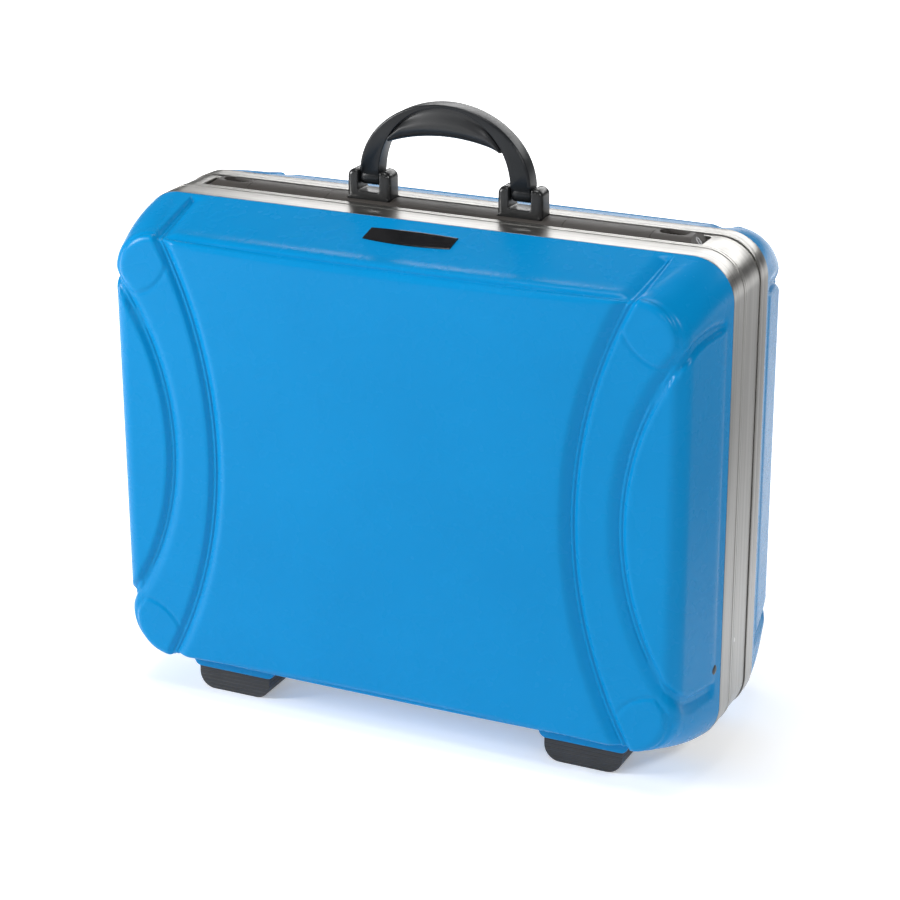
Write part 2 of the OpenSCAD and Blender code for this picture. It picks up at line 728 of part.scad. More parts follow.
// A key cylinder with its key slot across the face
module key_cylinder() color("#c9cbcd") difference() {
    key_frame() translate([0, 0, -key_len]) cylinder(h = key_len - 0.2, r = key_r);
    key_frame() translate([-key_r * 0.7, -0.6, -4]) cube([key_r * 1.4, 1.2, 5]);
}
module right_key_cylinder() key_cylinder();
module left_key_cylinder() mirror([1, 0, 0]) key_cylinder();

// ---- handle ---------------------------------------------------------------------------

// A handle bracket: two round-topped posts on a saddle, with blind holes for the pins
module handle_bracket() color("#1f2123") difference() {
    intersection() {
        along_x(leg_x - bracket_w / 2, leg_x + bracket_w / 2)
            translate([pin_y, post_top - bracket_w]) round_rect(bracket_d, 2 * bracket_w, post_side_r);
        translate([leg_x, pin_y + bracket_d, post_top - bracket_w]) rotate([90, 0, 0])
            linear_extrude(2 * bracket_d) round_rect(bracket_w, 2 * bracket_w, post_end_r);
        translate([leg_x - bracket_w, pin_y - bracket_w, pad_z]) cube(2 * bracket_w);
    }
    translate([leg_x - post_gap, pin_y - bracket_w, saddle_z])
        cube([2 * post_gap, 2 * bracket_w, bracket_w]);
    rod_x(leg_x - pin_hold, leg_x + pin_hold, pin_y, pin_z, handle_pin_r);
    for (x = [-1, 1]) translate([leg_x + x * bracket_screw_x, pin_y, pad_z - 1])
        cylinder(h = bracket_screw_l + 1, r = screw_r);
}
module right_handle_bracket() handle_bracket();
module left_handle_bracket() mirror([1, 0, 0]) handle_bracket();

module handle_pins() color("#b4b7ba") both_sides()
    rod_x(leg_x - pin_hold, leg_x + pin_hold, pin_y, pin_z, handle_pin_r);

module bracket_screws() color("#b4b7ba") both_sides() for (x = [-1, 1])
    translate([leg_x + x * bracket_screw_x, pin_y, 0]) {
        translate([0, 0, flange_z]) cylinder(h = pad_z + bracket_screw_l - flange_z, r = screw_r);
        translate([0, 0, flange_z - screw_head_t]) cylinder(h = screw_head_t, r = screw_head_r);
    }

// Points of half an ellipse, from angle a0 to a1, above the height of the arch centre
function half_ellipse(a, b, a0, a1) =
    [for (i = [0:ARCH_STEPS]) let (ang = a0 + (a1 - a0) * i / ARCH_STEPS) [a * cos(ang), b * sin(ang)]];

// The arch: legs that turn on the pins and a web that thins towards the top
module handle_arch() color("#34383c") difference() {
    union() {
        translate([0, pin_y + arch_d / 2, arch_z]) rotate([90, 0, 0]) linear_extrude(arch_d)
            polygon(concat([[arch_out, pin_z - arch_z]],
                           half_ellipse(arch_out, arch_top, 0, 180),
                           [[-arch_out, pin_z - arch_z], [-arch_in, pin_z - arch_z]],
                           half_ellipse(arch_in, arch_top - arch_top_t, 180, 0),
                           [[arch_in, pin_z - arch_z]]));
        both_sides() rod_x(arch_in, arch_out, pin_y, pin_z, barrel_r);
    }
    both_sides() rod_x(arch_in - 1, arch_out + 1, pin_y, pin_z, handle_pin_r + fit);
}

// The grip: a thick rounded pad that fills the top of the arch
module handle_grip() color("#2c3034") intersection() {
    translate([0, pin_y + grip_d, arch_z]) rotate([90, 0, 0]) linear_extrude(2 * grip_d)
        intersection() {
            polygon(half_ellipse(arch_in, arch_top - arch_top_t, 0, 180));
            translate([-grip_x, 0]) square([2 * grip_x, arch_h]);
        }
    translate([0, pin_y, grip_low_z - grip_arc_r]) rotate([90, 0, 0]) rotate_extrude($fn = 128) {
        translate([grip_arc_r + grip_d / 2, 0]) circle(grip_d / 2);
        polygon([[grip_arc_r + grip_d / 2, -grip_d / 2], [grip_arc_r + grip_d / 2, grip_d / 2],
                 [grip_arc_r + grip_h + grip_over, grip_top_d / 2],
                 [grip_arc_r + grip_h + grip_over, -grip_top_d / 2]]);
    }
}

// ---- stays ----------------------------------------------------------------------------

// A slotted stay arm that turns on the lid and runs over the stud on the base
module stay_arm() color("#b9bcbf") along_x(stay_x - sheet_t / 2, stay_x + sheet_t / 2)
    translate(lid_pivot) rotate(stay_angle) difference() {
        union() {
            circle(stay_w / 2);
            translate([0, -stay_w / 2]) square([slot_end + 2, stay_w]);
            translate([slot_end + 2, 0]) circle(stay_w / 2);
        }
        circle(pivot_r + fit);
        for (s = [slot_start - slot_play, slot_end + slot_play]) translate([s, 0])
            circle(stud_r + 2 * fit);
        translate([slot_start - slot_play, -stud_r - 2 * fit])
            square([slot_end - slot_start + 2 * slot_play, 2 * stud_r + 4 * fit]);
    }
module right_stay() stay_arm();
module left_stay() mirror([1, 0, 0]) stay_arm();

// The pivots that carry the stays, riveted through the side walls of the lid shell
module stay_pivots() color("#2a2c2e") both_sides() {
    y = lid_pivot[0];
    z = lid_pivot[1];
    rod_x(stay_in_x - stay_head_t, stay_in_x, y, z, shoulder_r);
    rod_x(stay_in_x - 0.5, pivot_head_x + 0.5, y, z, pivot_r);
    rod_x(stay_out_x, pivot_shoulder_x, y, z, shoulder_r);
    rod_x(pivot_head_x, pivot_head_x + pivot_head_t, y, z, pivot_head_r - 0.2);
}

// The studs on the base frame that the slots of the stays run over
module stay_studs() color("#b9bcbf") both_sides() {
    y = base_stud[0];
    z = base_stud[1];
    rod_x(stay_in_x - stay_head_t, stay_in_x, y, z, shoulder_r);
    rod_x(stay_in_x - 0.5, stay_out_x + 0.5, y, z, stud_r);
    rod_x(stay_out_x, case_w / 2 - frame_u, y, z, shoulder_r);
    rod_x(case_w / 2 - frame_u - 0.5, case_w / 2 - band_drop, y, z, stud_tail_r);
}

// ---- feet and badge ---------------------------------------------------------------------

// Two feet under a shell, each with a deep hole for its screw
module feet_pair() {
    both_sides() translate([foot_x, foot_out_y, 0]) difference() {
        rotate([90, 0, 0]) linear_extrude(foot_d) intersection() {
            translate([0, foot_h]) round_rect(foot_w, 2 * foot_h, foot_r);
            translate([-foot_w / 2, 0]) square([foot_w, foot_h]);
        }
        translate([0, -foot_d / 2, -1]) cylinder(h = screw_seat_z + 1, r = foot_bore_r);
        translate([0, -foot_d / 2, 0]) cylinder(h = foot_h + 1, r = screw_r);
    }
}
module base_feet() color("#232527") feet_pair();
module lid_feet() color("#232527") front_side() feet_pair();

// Pan-head screws that hold the feet to the bosses
module foot_screws() {
    shank_top = boss_z + screw_reach - 0.5;
    both_sides() translate([foot_x, foot_screw_y, 0]) {
        translate([0, 0, screw_seat_z - foot_head_t]) cylinder(h = foot_head_t, r = foot_head_r);
        translate([0, 0, screw_seat_z - 0.5]) cylinder(h = shank_top - screw_seat_z + 0.5, r = screw_r);
    }
}
module base_foot_screws() color("#b4b7ba") foot_screws();
module lid_foot_screws() color("#b4b7ba") front_side() foot_screws();

// Moves a shape to the floor of the badge pocket, in the leaning top wall of the lid
module badge_place() {
    translate([0, lid_front_y - badge_from_frame,
               top_z - shell_step - inset(badge_from_frame, top_lean, edge_r)])
        rotate([lean_angle(top_lean), 0, 0]) translate([0, 0, -badge_sink]) children();
}

// A plate outline w by d with a straight upper edge and a bowed lower edge
module badge_outline(w, d) {
    r = (pow(w / 2, 2) + pow(badge_bow, 2)) / (2 * badge_bow);
    intersection() {
        square([w, d], center = true);
        translate([0, r - d / 2]) circle(r, $fn = 180);
    }
}
module badge_plate() color("#151617") badge_place() linear_extrude(badge_t)
    badge_outline(badge_w - 0.2, badge_d - 0.2);

base_shell();
base_frame();
handle_plate();
left_lock_housing();
right_lock_housing();
left_handle_bracket();
right_handle_bracket();
handle_pins();
bracket_screws();
latch_hinge_pins();
base_hinge_leaf();
hinge_pin();
base_hinge_rivets();
base_feet();
base_foot_screws();
stay_studs();
lid_shell();
lid_frame();
badge_plate();
lid_hinge_leaf();
lid_hinge_rivets();
lid_feet();
lid_foot_screws();
latch_keepers();
stay_pivots();
left_stay();
right_stay();
handle_arch();
handle_grip();
left_latch_lever();
right_latch_lever();
left_latch_claw();
right_latch_claw();
left_thumb_slide();
right_thumb_slide();
left_key_cylinder();
right_key_cylinder();
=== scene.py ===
# %% [markdown]
# # A hard tool case
# Two blue moulded shells sit in aluminium frames. A black handle and two latches lie in a strip
# along the top. The measured model gives every solid piece its place and its motion. This file
# adds what a moulder, an extruder and a finisher add: soft relief, rounded edges, and surfaces
# that look like the real plastic and metal.

# %% Load the measured model
import json
import math

import bmesh
import bpy
import numpy as np
from mathutils import Matrix


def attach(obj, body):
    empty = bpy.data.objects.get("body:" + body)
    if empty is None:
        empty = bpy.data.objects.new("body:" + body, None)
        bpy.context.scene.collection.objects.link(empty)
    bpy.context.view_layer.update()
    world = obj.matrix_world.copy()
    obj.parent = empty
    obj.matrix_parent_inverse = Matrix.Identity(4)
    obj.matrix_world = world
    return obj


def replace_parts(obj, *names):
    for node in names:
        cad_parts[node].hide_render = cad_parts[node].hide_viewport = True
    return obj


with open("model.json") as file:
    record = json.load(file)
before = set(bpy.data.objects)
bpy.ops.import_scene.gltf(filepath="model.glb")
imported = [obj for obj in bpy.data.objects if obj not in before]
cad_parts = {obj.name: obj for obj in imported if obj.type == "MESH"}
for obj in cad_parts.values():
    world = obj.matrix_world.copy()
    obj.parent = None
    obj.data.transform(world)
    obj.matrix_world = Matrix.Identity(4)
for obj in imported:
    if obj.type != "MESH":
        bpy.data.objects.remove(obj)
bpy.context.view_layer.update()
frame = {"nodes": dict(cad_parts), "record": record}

# %% [markdown]
# ## Lengths that the pieces share
# All lengths are in millimetres, as in a workshop drawing, and `MM` turns them into metres at
# the last moment. The frames are 490 by 384 across. The two halves part 12.8 in front of the
# middle, so the latch strip lies wholly in the rear half.

# %% Shared lengths
MM = 0.001
HALF_W, HALF_H, CORNER_R = 245.0, 192.0, 33.0
MID_Z, TOP_Z, FRAME_Y = 209.0, 401.0, 37.3
SHELL_D, SHELL_WALL, SHELL_STEP, RIM_STEP, RIM_D = 67.0, 3.2, 0.6, 2.21, 13.0


def smooth(t):
    """The S-curve that rises from 0 to 1 as t goes from 0 to 1, level at both ends."""
    t = np.clip(t, 0.0, 1.0)
    return t * t * (3.0 - 2.0 * t)


def bump(e, width):
    """A rounded hill of height 1 at e = 0 that falls to 1/e of its height at +-width."""
    return np.exp(-(e / width) ** 2)


# %% [markdown]
# ## Meshes from grids
# A surface is a function of two parameters, worked out for a whole grid at once. A grid becomes
# a mesh when neighbours are joined into four-sided faces. It can be closed in either direction,
# as a tube is, and flat faces can close its two ends.

# %% Grid to mesh
def grid_faces(rows, cols, wrap_rows, wrap_cols, start):
    """Quads between neighbours of a rows by cols grid: (i, j), (i, j+1), (i+1, j+1), (i+1, j)."""
    i = np.arange(rows if wrap_rows else rows - 1)[:, None]
    j = np.arange(cols if wrap_cols else cols - 1)[None, :]
    i2, j2 = (i + 1) % rows, (j + 1) % cols
    corners = (i * cols + j, i * cols + j2, i2 * cols + j2, i2 * cols + j)
    quads = np.stack(np.broadcast_arrays(*corners), -1)
    return quads.reshape(-1, 4) + start


class Build:
    """Gathers several grids into one mesh, so that a pair or a row of parts is one piece."""

    def __init__(self):
        self.points, self.faces, self.count = [], [], 0

    def grid(self, P, wrap_rows=False, wrap_cols=False, caps=(), flip=False):
        """Adds a grid of points. caps names the rows, "first" or "last", that a face closes."""
        rows, cols = P.shape[:2]
        quads = grid_faces(rows, cols, wrap_rows, wrap_cols, self.count)
        ends = []
        if "first" in caps:
            ends.append(list(range(self.count + cols - 1, self.count - 1, -1)))
        if "last" in caps:
            first = self.count + (rows - 1) * cols
            ends.append(list(range(first, first + cols)))
        if flip:
            quads, ends = quads[:, ::-1], [end[::-1] for end in ends]
        self.points.append(P.reshape(-1, 3))
        self.faces += quads.tolist() + ends
        self.count += rows * cols
        return self

    def closed(self, loops, flip=True):
        """Adds a stack of closed loops whose two ends are closed with flat faces."""
        return self.grid(loops, wrap_cols=True, caps=("first", "last"), flip=flip)

    def mirrored(self):
        """Adds the mirror image in X of all that is there so far."""
        P = np.concatenate(self.points)
        self.faces += [[v + self.count for v in face[::-1]] for face in self.faces]
        self.points.append(P * [-1, 1, 1])
        self.count += len(P)
        return self

    def piece(self, name, body, slot, material, smooth_angle=35.0):
        """Turns what was gathered into an object that rides on a body and takes its finish."""
        mesh = bpy.data.meshes.new(name)
        mesh.from_pydata((np.concatenate(self.points) * MM).tolist(), [], self.faces)
        mesh.materials.append(material)
        return hand_in(bpy.data.objects.new(name, mesh), body, smooth_angle)


def hand_in(piece, body, smooth_angle):
    """Links an object, smooths faces that meet at a small angle and lets it ride on a body."""
    bpy.context.scene.collection.objects.link(piece)
    mesh = piece.data
    mesh.polygons.foreach_set("use_smooth", np.ones(len(mesh.polygons), dtype=bool))
    mesh.set_sharp_from_angle(angle=math.radians(smooth_angle))
    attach(piece, body)
    print(piece.name, "rides on", body, "with", len(mesh.polygons), "faces")
    return piece


# %% [markdown]
# ## Writing materials as sums
# A pattern is a formula: a noise times a mask plus a tint. `Wire` wraps one socket of the node
# tree and lets Python's own operators add the Math nodes, so a finish reads as its formula.
# Any other node comes from `Finish.node`, which sets the node's settings first and then its
# sockets.

# %% Shader helper
class Wire:
    """One output socket. +, -, * and / between wires or numbers add Math nodes."""

    def __init__(self, finish, socket):
        self.finish, self.socket = finish, socket

    def _math(self, operation, first, second=0.0):
        return self.finish.node("Math", {0: first, 1: second}, operation=operation)

    def __add__(self, other): return self._math("ADD", self, other)
    def __radd__(self, other): return self._math("ADD", other, self)
    def __sub__(self, other): return self._math("SUBTRACT", self, other)
    def __rsub__(self, other): return self._math("SUBTRACT", other, self)
    def __mul__(self, other): return self._math("MULTIPLY", self, other)
    def __rmul__(self, other): return self._math("MULTIPLY", other, self)
    def __truediv__(self, other): return self._math("DIVIDE", self, other)
    def __rtruediv__(self, other): return self._math("DIVIDE", other, self)

    def clip(self, least=0.0, most=1.0):
        """The value held between least and most."""
        return self._math("MINIMUM", self._math("MAXIMUM", self, least), most)

    def ramp(self, start, stop):
        """0 below start, 1 above stop and a straight rise between them."""
        return ((self - start) / (stop - start)).clip()


class Finish:
    """A material under construction: a Principled shader and the patterns that feed it."""

    def __init__(self, name, **constants):
        self.material = bpy.data.materials.new(name)
        self.material.use_nodes = True
        self.tree = self.material.node_tree
        self.shader = self.tree.nodes["Principled BSDF"]
        for key, value in constants.items():
            self.shader.inputs[key.replace("_", " ")].default_value = value

    def node(self, kind, sockets, out=0, **settings):
        """Adds a node of a kind: its settings first, then numbers or wires for its sockets."""
        made = self.tree.nodes.new("ShaderNode" + kind)
        for key, value in settings.items():
            setattr(made, key, value)
        for key, value in sockets.items():
            if isinstance(value, Wire):
                self.tree.links.new(value.socket, made.inputs[key])
            else:
                made.inputs[key].default_value = value
        return Wire(self, made.outputs[out])

    def place(self, stretch=(1.0, 1.0, 1.0)):
        """Object coordinates in metres, multiplied along each axis."""
        here = self.node("TexCoord", {}, out="Object")
        return self.node("VectorMath", {0: here, 1: stretch}, operation="MULTIPLY")

    def axis(self, name):
        """One object coordinate in millimetres."""
        parts = self.node("SeparateXYZ", {0: self.node("TexCoord", {}, out="Object")}, out=name)
        return parts * (1.0 / MM)

    def noise(self, scale, stretch=(1.0, 1.0, 1.0), detail=2.0):
        """Cloudy noise round 0.5, with scale blobs to the metre."""
        sockets = {"Vector": self.place(stretch), "Scale": scale, "Detail": detail}
        return self.node("TexNoise", sockets, out="Fac")

    def tint(self, amount, dark, light):
        """The colour between dark and light that amount, from 0 to 1, picks."""
        sockets = {0: amount, 6: (*dark, 1.0), 7: (*light, 1.0)}
        return self.node("Mix", sockets, out=2, data_type="RGBA")

    def feed(self, socket, wire):
        self.tree.links.new(wire.socket, self.shader.inputs[socket])
        return self

    def relief(self, height, depth_mm):
        """Turns a height pattern from 0 to 1 into tilted normals, depth_mm deep."""
        sockets = {"Distance": depth_mm * MM, "Height": height}
        return self.feed("Normal", self.node("Bump", sockets, out="Normal"))


# %% [markdown]
# ## The finishes
# The shells are a satin blue plastic. The mould leaves a fine leather grain on them. Leather is
# made of small cells, so the grain comes from the distance to scattered points, and a softer
# noise keeps the cells from looking even.

# %% Shell plastic
def leather(finish, cell_mm, depth_mm):
    """Grain: rounded cells about cell_mm wide and depth_mm deep, with a finer noise over them."""
    cells = finish.node("TexVoronoi", {"Vector": finish.place(), "Scale": 1.0 / (cell_mm * MM)},
                        out="Distance", feature="SMOOTH_F1")
    return finish.relief(cells * 0.75 + finish.noise(2200.0) * 0.25, depth_mm)


shell_finish = Finish("shell_plastic", Specular_IOR_Level=0.12)
cloud = shell_finish.noise(9.0, detail=3.0).ramp(0.3, 0.7)
blue = shell_finish.tint(cloud, (0.0, 0.206, 0.482), (0.0, 0.219, 0.508))
shell_finish.feed("Base Color", blue)
shell_finish.feed("Roughness", 0.23 + 0.08 * shell_finish.noise(60.0))
leather(shell_finish, 1.1, 0.022)
SHELL = shell_finish.material
print("finish", SHELL.name)

# %% [markdown]
# The frames are drawn through a die, so their faint lines all run along the bar and never
# across it. Noise that changes fast along Y and slowly along X and Z draws those lines on all
# four sides at once. Handling adds a few soft smears.

# %% Drawn metal
def drawn_metal(name, shade, rough, contrast):
    """Metal with drawing lines along the bar: fine noise across Y, almost none along X and Z."""
    made = Finish(name, Metallic=1.0)
    fine = made.noise(1.0, (4.0, 1500.0, 4.0), 3.0)
    broad = made.noise(1.0, (2.0, 260.0, 2.0))
    smear = made.noise(9.0, (1.0, 4.0, 1.0), 4.0)
    mixed = (fine * 0.4 + broad * 0.4 + smear * 0.2).ramp(0.35, 0.65)
    dark = tuple(value * (1.0 - contrast) for value in shade)
    made.feed("Base Color", made.tint(mixed, dark, shade))
    made.feed("Roughness", rough + 0.12 * (fine - 0.5) + 0.08 * (smear - 0.5))
    made.relief(fine * 0.6 + broad * 0.4, 0.02)
    return made.material


ALUMINIUM = drawn_metal("frame_aluminium", (0.43, 0.422, 0.405), 0.31, 0.44)
STEEL = drawn_metal("rolled_steel", (0.66, 0.66, 0.65), 0.30, 0.12)
HINGE = drawn_metal("hinge_steel", (0.60, 0.61, 0.62), 0.33, 0.15)
print("finishes", ALUMINIUM.name, STEEL.name, HINGE.name)

# %% [markdown]
# The black parts are different plastics. The strip is a matt brown black, the brackets are
# smooth and glossy, and the handle is grained so that a hand holds it. Two close tones, mixed
# by a slow noise, keep each of them from looking like paint.

# %% Black plastics
def black_plastic(name, dark, light, rough, grain_mm=None, depth_mm=0.04, gloss=0.5):
    """Dark plastic: two close tones by slow noise, uneven gloss and, if asked, a cell grain."""
    made = Finish(name, Specular_IOR_Level=gloss)
    clouds = made.noise(35.0, detail=4.0).ramp(0.35, 0.65)
    made.feed("Base Color", made.tint(clouds, dark, light))
    made.feed("Roughness", rough + 0.10 * (made.noise(90.0, detail=3.0) - 0.5))
    if grain_mm:
        leather(made, grain_mm, depth_mm)
    else:
        made.relief(made.noise(500.0), 0.012)
    return made.material


STRIP = black_plastic("strip_plastic", (0.030, 0.026, 0.023), (0.040, 0.035, 0.031), 0.50,
                      grain_mm=0.7, depth_mm=0.03)
BRACKET = black_plastic("bracket_plastic", (0.007, 0.0072, 0.0075), (0.011, 0.0115, 0.012), 0.30)
HANDLE = black_plastic("handle_plastic", (0.005, 0.0065, 0.008), (0.010, 0.0115, 0.0135), 0.34,
                       grain_mm=0.8, depth_mm=0.03, gloss=0.32)
GRIP = black_plastic("grip_plastic", (0.008, 0.009, 0.010), (0.014, 0.015, 0.017), 0.42,
                     grain_mm=0.8, depth_mm=0.06)
SLIDE = black_plastic("slide_plastic", (0.008, 0.008, 0.008), (0.014, 0.014, 0.014), 0.36)
BADGE = black_plastic("badge_plastic", (0.006, 0.006, 0.007), (0.010, 0.010, 0.011), 0.16)
RIVET = black_plastic("rivet_black", (0.010, 0.010, 0.010), (0.020, 0.020, 0.020), 0.30)
print("finishes", [made.name for made in (STRIP, BRACKET, HANDLE, GRIP, SLIDE, BADGE, RIVET)])

# %% [markdown]
# The feet carry fine level ribs from the mould, so their relief depends only on the height
# above the floor. Keys and screws are plated metal, whose gloss breaks up in small spots.

# %% Feet and plated metal
foot_finish = Finish("foot_plastic")
foot_patch = foot_finish.noise(40.0, detail=3.0).ramp(0.3, 0.7)
foot_tone = foot_finish.tint(foot_patch, (0.017, 0.018, 0.020), (0.026, 0.027, 0.030))
foot_finish.feed("Base Color", foot_tone)
foot_finish.feed("Roughness", 0.48 + 0.1 * (foot_finish.noise(120.0) - 0.5))
RIB_PITCH = 3.1
rib_phase = foot_finish.axis("Z") * (2 * math.pi / RIB_PITCH)
rib_wave = foot_finish.node("Math", {0: rib_phase}, operation="SINE")
foot_finish.relief(rib_wave.ramp(-1.0, -0.6) + 0.06 * foot_finish.noise(900.0), 0.30)
FOOT = foot_finish.material


def plated_metal(name, dark, light, rough, spot_scale):
    """Plated metal: two close greys and a gloss that both change from spot to spot."""
    made = Finish(name, Metallic=1.0)
    spots = made.noise(spot_scale, detail=4.0)
    made.feed("Base Color", made.tint(spots.ramp(0.3, 0.7), dark, light))
    made.feed("Roughness", rough + 0.12 * spots)
    return made.relief(spots, 0.006).material


CHROME = plated_metal("lock_chrome", (0.20, 0.20, 0.20), (0.28, 0.28, 0.29), 0.22, 500.0)
ZINC = plated_metal("plain_steel", (0.44, 0.45, 0.47), (0.62, 0.62, 0.63), 0.32, 300.0)
print("finishes", FOOT.name, CHROME.name, ZINC.name)

# %% [markdown]
# Each measured piece names a slot for its finish. This table gives every slot its material, so
# a piece that keeps its measured shape is dressed here.

# %% Finish every measured piece
BY_SLOT = {"shell_plastic": SHELL, "frame_aluminium": ALUMINIUM, "strip_plastic": STRIP,
           "bracket_plastic": BRACKET, "handle_plastic": HANDLE, "grip_plastic": GRIP,
           "slide_plastic": SLIDE, "foot_plastic": FOOT, "badge_plastic": BADGE,
           "plain_steel": ZINC, "hinge_steel": HINGE, "stay_steel": STEEL,
           "rivet_black": RIVET, "lock_chrome": CHROME}
for part in frame["record"]["subparts"]:
    node = frame["nodes"][part["node"]]
    node.data.materials.clear()
    node.data.materials.append(BY_SLOT[part["material_slot"]])

# %% [markdown]
# ## The moulded shells
# Each shell is one sheet pulled over a form. Its outline is a rounded rectangle at every depth.
# Going away from the frame the outline leans in, and near the flat face it turns over a soft
# edge. The rear half leans in very nearly as much as the lid. These functions give the outline
# of either half at any depth.

# %% The outline of a shell
class Half:
    """The measures of one half: its body, its direction along Y and how far its walls lean in."""

    def __init__(self, name, body, side, side_lean, top_lean):
        self.name, self.body, self.side = name, body, side
        self.side_lean, self.top_lean = side_lean, top_lean
        self.side_edge, self.top_edge, self.face_corner = 14.0, 5.0, 38.0
        a, b, r = self.outline(np.array(SHELL_D))
        self.face_a, self.face_b, self.face_r = float(a), float(b), float(r)

    def inset(self, t, lean, r):
        """How far a wall stands in at depth t: a straight lean, then a circle of radius r."""
        tilt = math.atan2(lean, SHELL_D)
        run = r * math.tan((math.pi / 2 - tilt) / 2)
        start = SHELL_D - r + r * math.sin(tilt)
        arc = lean + run - np.sqrt(np.maximum(0.0, r * r - (t - SHELL_D + r) ** 2))
        return np.where(t < start, lean * t / SHELL_D, arc)

    def outline(self, t, skin=0.0):
        """Half width, half height and corner radius of the outline at depth t, skin further in."""
        inside = np.maximum(t, 0.0)
        step = np.where(t < 0, RIM_STEP, SHELL_STEP)
        side = self.inset(inside, self.side_lean, self.side_edge)
        a = HALF_W - step - skin - side
        b = HALF_H - step - skin - self.inset(inside, self.top_lean, self.top_edge)
        growth = (self.face_corner - CORNER_R) * inside / SHELL_D
        r = CORNER_R - step + growth - (side - self.side_lean * inside / SHELL_D) - skin
        return a, b, np.maximum(r, 8.0)

    def in_place(self, P):
        """Turns (x, t, z) with t the depth from the frame into the case's own axes."""
        return np.stack([P[..., 0], self.side * (FRAME_Y + P[..., 1]), MID_Z + P[..., 2]], -1)


LID = Half("lid_shell", "lid", -1, 11.5, 17.5)
BASE = Half("base_shell", "base", 1, 11.5, 17.0)
for half in (LID, BASE):
    print(half.name, "face", round(2 * half.face_a, 1), "by", round(2 * half.face_b, 1),
          "corner radius", round(half.face_r, 1))

# %% [markdown]
# ## Folding out the walls
# The relief crosses the soft edge from the face to the walls. To draw it once for both, every
# point gets flat coordinates, as if the walls were folded out level with the face. A wall point
# then lies as far beyond the face as the length of wall between them.

# %% Folded-out coordinates
def folded_out(P, half):
    """(x, z) of each point (x, t, z) with the walls folded out. The distance beyond the face's
    outline is the length of wall to the face, measured along the lean and the soft edge."""
    t_line = np.linspace(0.0, SHELL_D, 400)
    wall_in = half.inset(t_line, half.top_lean, half.top_edge)
    step = np.hypot(np.diff(t_line), np.diff(wall_in))
    length = np.concatenate([np.cumsum(step[::-1])[::-1], [0.0]])
    x, z = P[..., 0], P[..., 2]
    S = np.interp(np.clip(P[..., 1], 0, SHELL_D), t_line, length)
    qx = np.clip(x, half.face_r - half.face_a, half.face_a - half.face_r)
    qz = np.clip(z, half.face_r - half.face_b, half.face_b - half.face_r)
    away = np.maximum(np.hypot(x - qx, z - qz), 1e-6)
    grow = np.where(S > 0, (half.face_r + S) / away, 1.0)
    return qx + (x - qx) * grow, qz + (z - qz) * grow


# %% [markdown]
# ## Where the grooves run
# Two grooves bow inwards between the raised panel and the band beside it, and two more bow the
# same way round a lens-shaped field at each side. On the face they are arcs of large circles.
# Over the top wall the inner pair runs on almost straight. Over the side walls the outer pair
# turns towards the frame, and `BEND` says how far it shifts in that turn.

# %% Groove lines
IN_X, IN_Z, IN_R = 518.6, 4.1, 369.3
OUT_X, OUT_Z, OUT_R = 412.9, 4.2, 225.8
SLANT, BEND = 0.10, 16.5


def arc_x(z, centre_x, centre_z, radius):
    """How far a groove's arc is from the middle line at height z."""
    return centre_x - np.sqrt(np.maximum(radius ** 2 - (z - centre_z) ** 2, 1.0))


def inner_distance(x, z, half):
    """Distance from the inner groove, positive towards the middle of the case. The arc turns
    into a slanting line where the top or bottom wall begins."""
    edge_z = half.face_b + 4.0
    arc = np.hypot(np.abs(x) - IN_X, z - IN_Z) - IN_R
    line = arc_x(edge_z, IN_X, IN_Z, IN_R) + SLANT * (np.abs(z) - edge_z) - np.abs(x)
    return arc + (0.97 * line - arc) * smooth((np.abs(z) - edge_z + 6.0) / 12.0)


def outer_distance(x, z, half):
    """Distance from the outer groove, positive towards the band. Where the arc reaches the side
    wall it bends, with an exponential ease, into a line that runs back to the frame."""
    edge_x = half.face_a + 4.0
    arc = np.hypot(np.abs(x) - OUT_X, z - OUT_Z) - OUT_R
    rise = math.sqrt(OUT_R ** 2 - (OUT_X - edge_x) ** 2)
    past = np.maximum(np.abs(x) - edge_x, 0.0)
    line = np.abs(z - OUT_Z) - (rise + BEND * (1.0 - np.exp(-1.4 * past / BEND)) + 0.02 * past)
    return arc + (0.95 * line - arc) * smooth((np.abs(x) - edge_x + 5.0) / 10.0)


print("inner grooves stand", round(float(arc_x(0.0, IN_X, IN_Z, IN_R)), 1),
      "from the middle, outer", round(float(arc_x(0.0, OUT_X, OUT_Z, OUT_R)), 1))

# %% [markdown]
# ## The cross-sections
# A groove is not a plain dent. From its outer side the sheet drops over a steep shoulder into a
# narrow dip. A low ridge follows, then a second dip and a long easy slope up to the field that
# lies nearer the middle. The crease along the panel has one deep dip. Each section is drawn as
# a few corner points and then rounded by a moving average, as a pulled sheet rounds them.

# %% Rounded cross-sections
LINE_STEP = 0.05


def rounded_section(corners, blur):
    """Heights at distances e along a section through corner points, averaged over +-2 blur with
    bell-shaped weights."""
    e0, e1 = corners[0][0], corners[-1][0]
    e_line = np.arange(e0 - 4 * blur, e1 + 4 * blur, LINE_STEP)
    h_line = np.interp(e_line, [c[0] for c in corners], [c[1] for c in corners])
    k = np.arange(-2 * blur, 2 * blur + 0.01, LINE_STEP)
    weights = bump(k, blur)
    pad = len(k) // 2
    padded = np.pad(h_line, pad, mode="edge")
    h_line = np.convolve(padded, weights / weights.sum(), mode="valid")[:len(e_line)]
    return lambda e: np.interp(e, e_line, h_line)


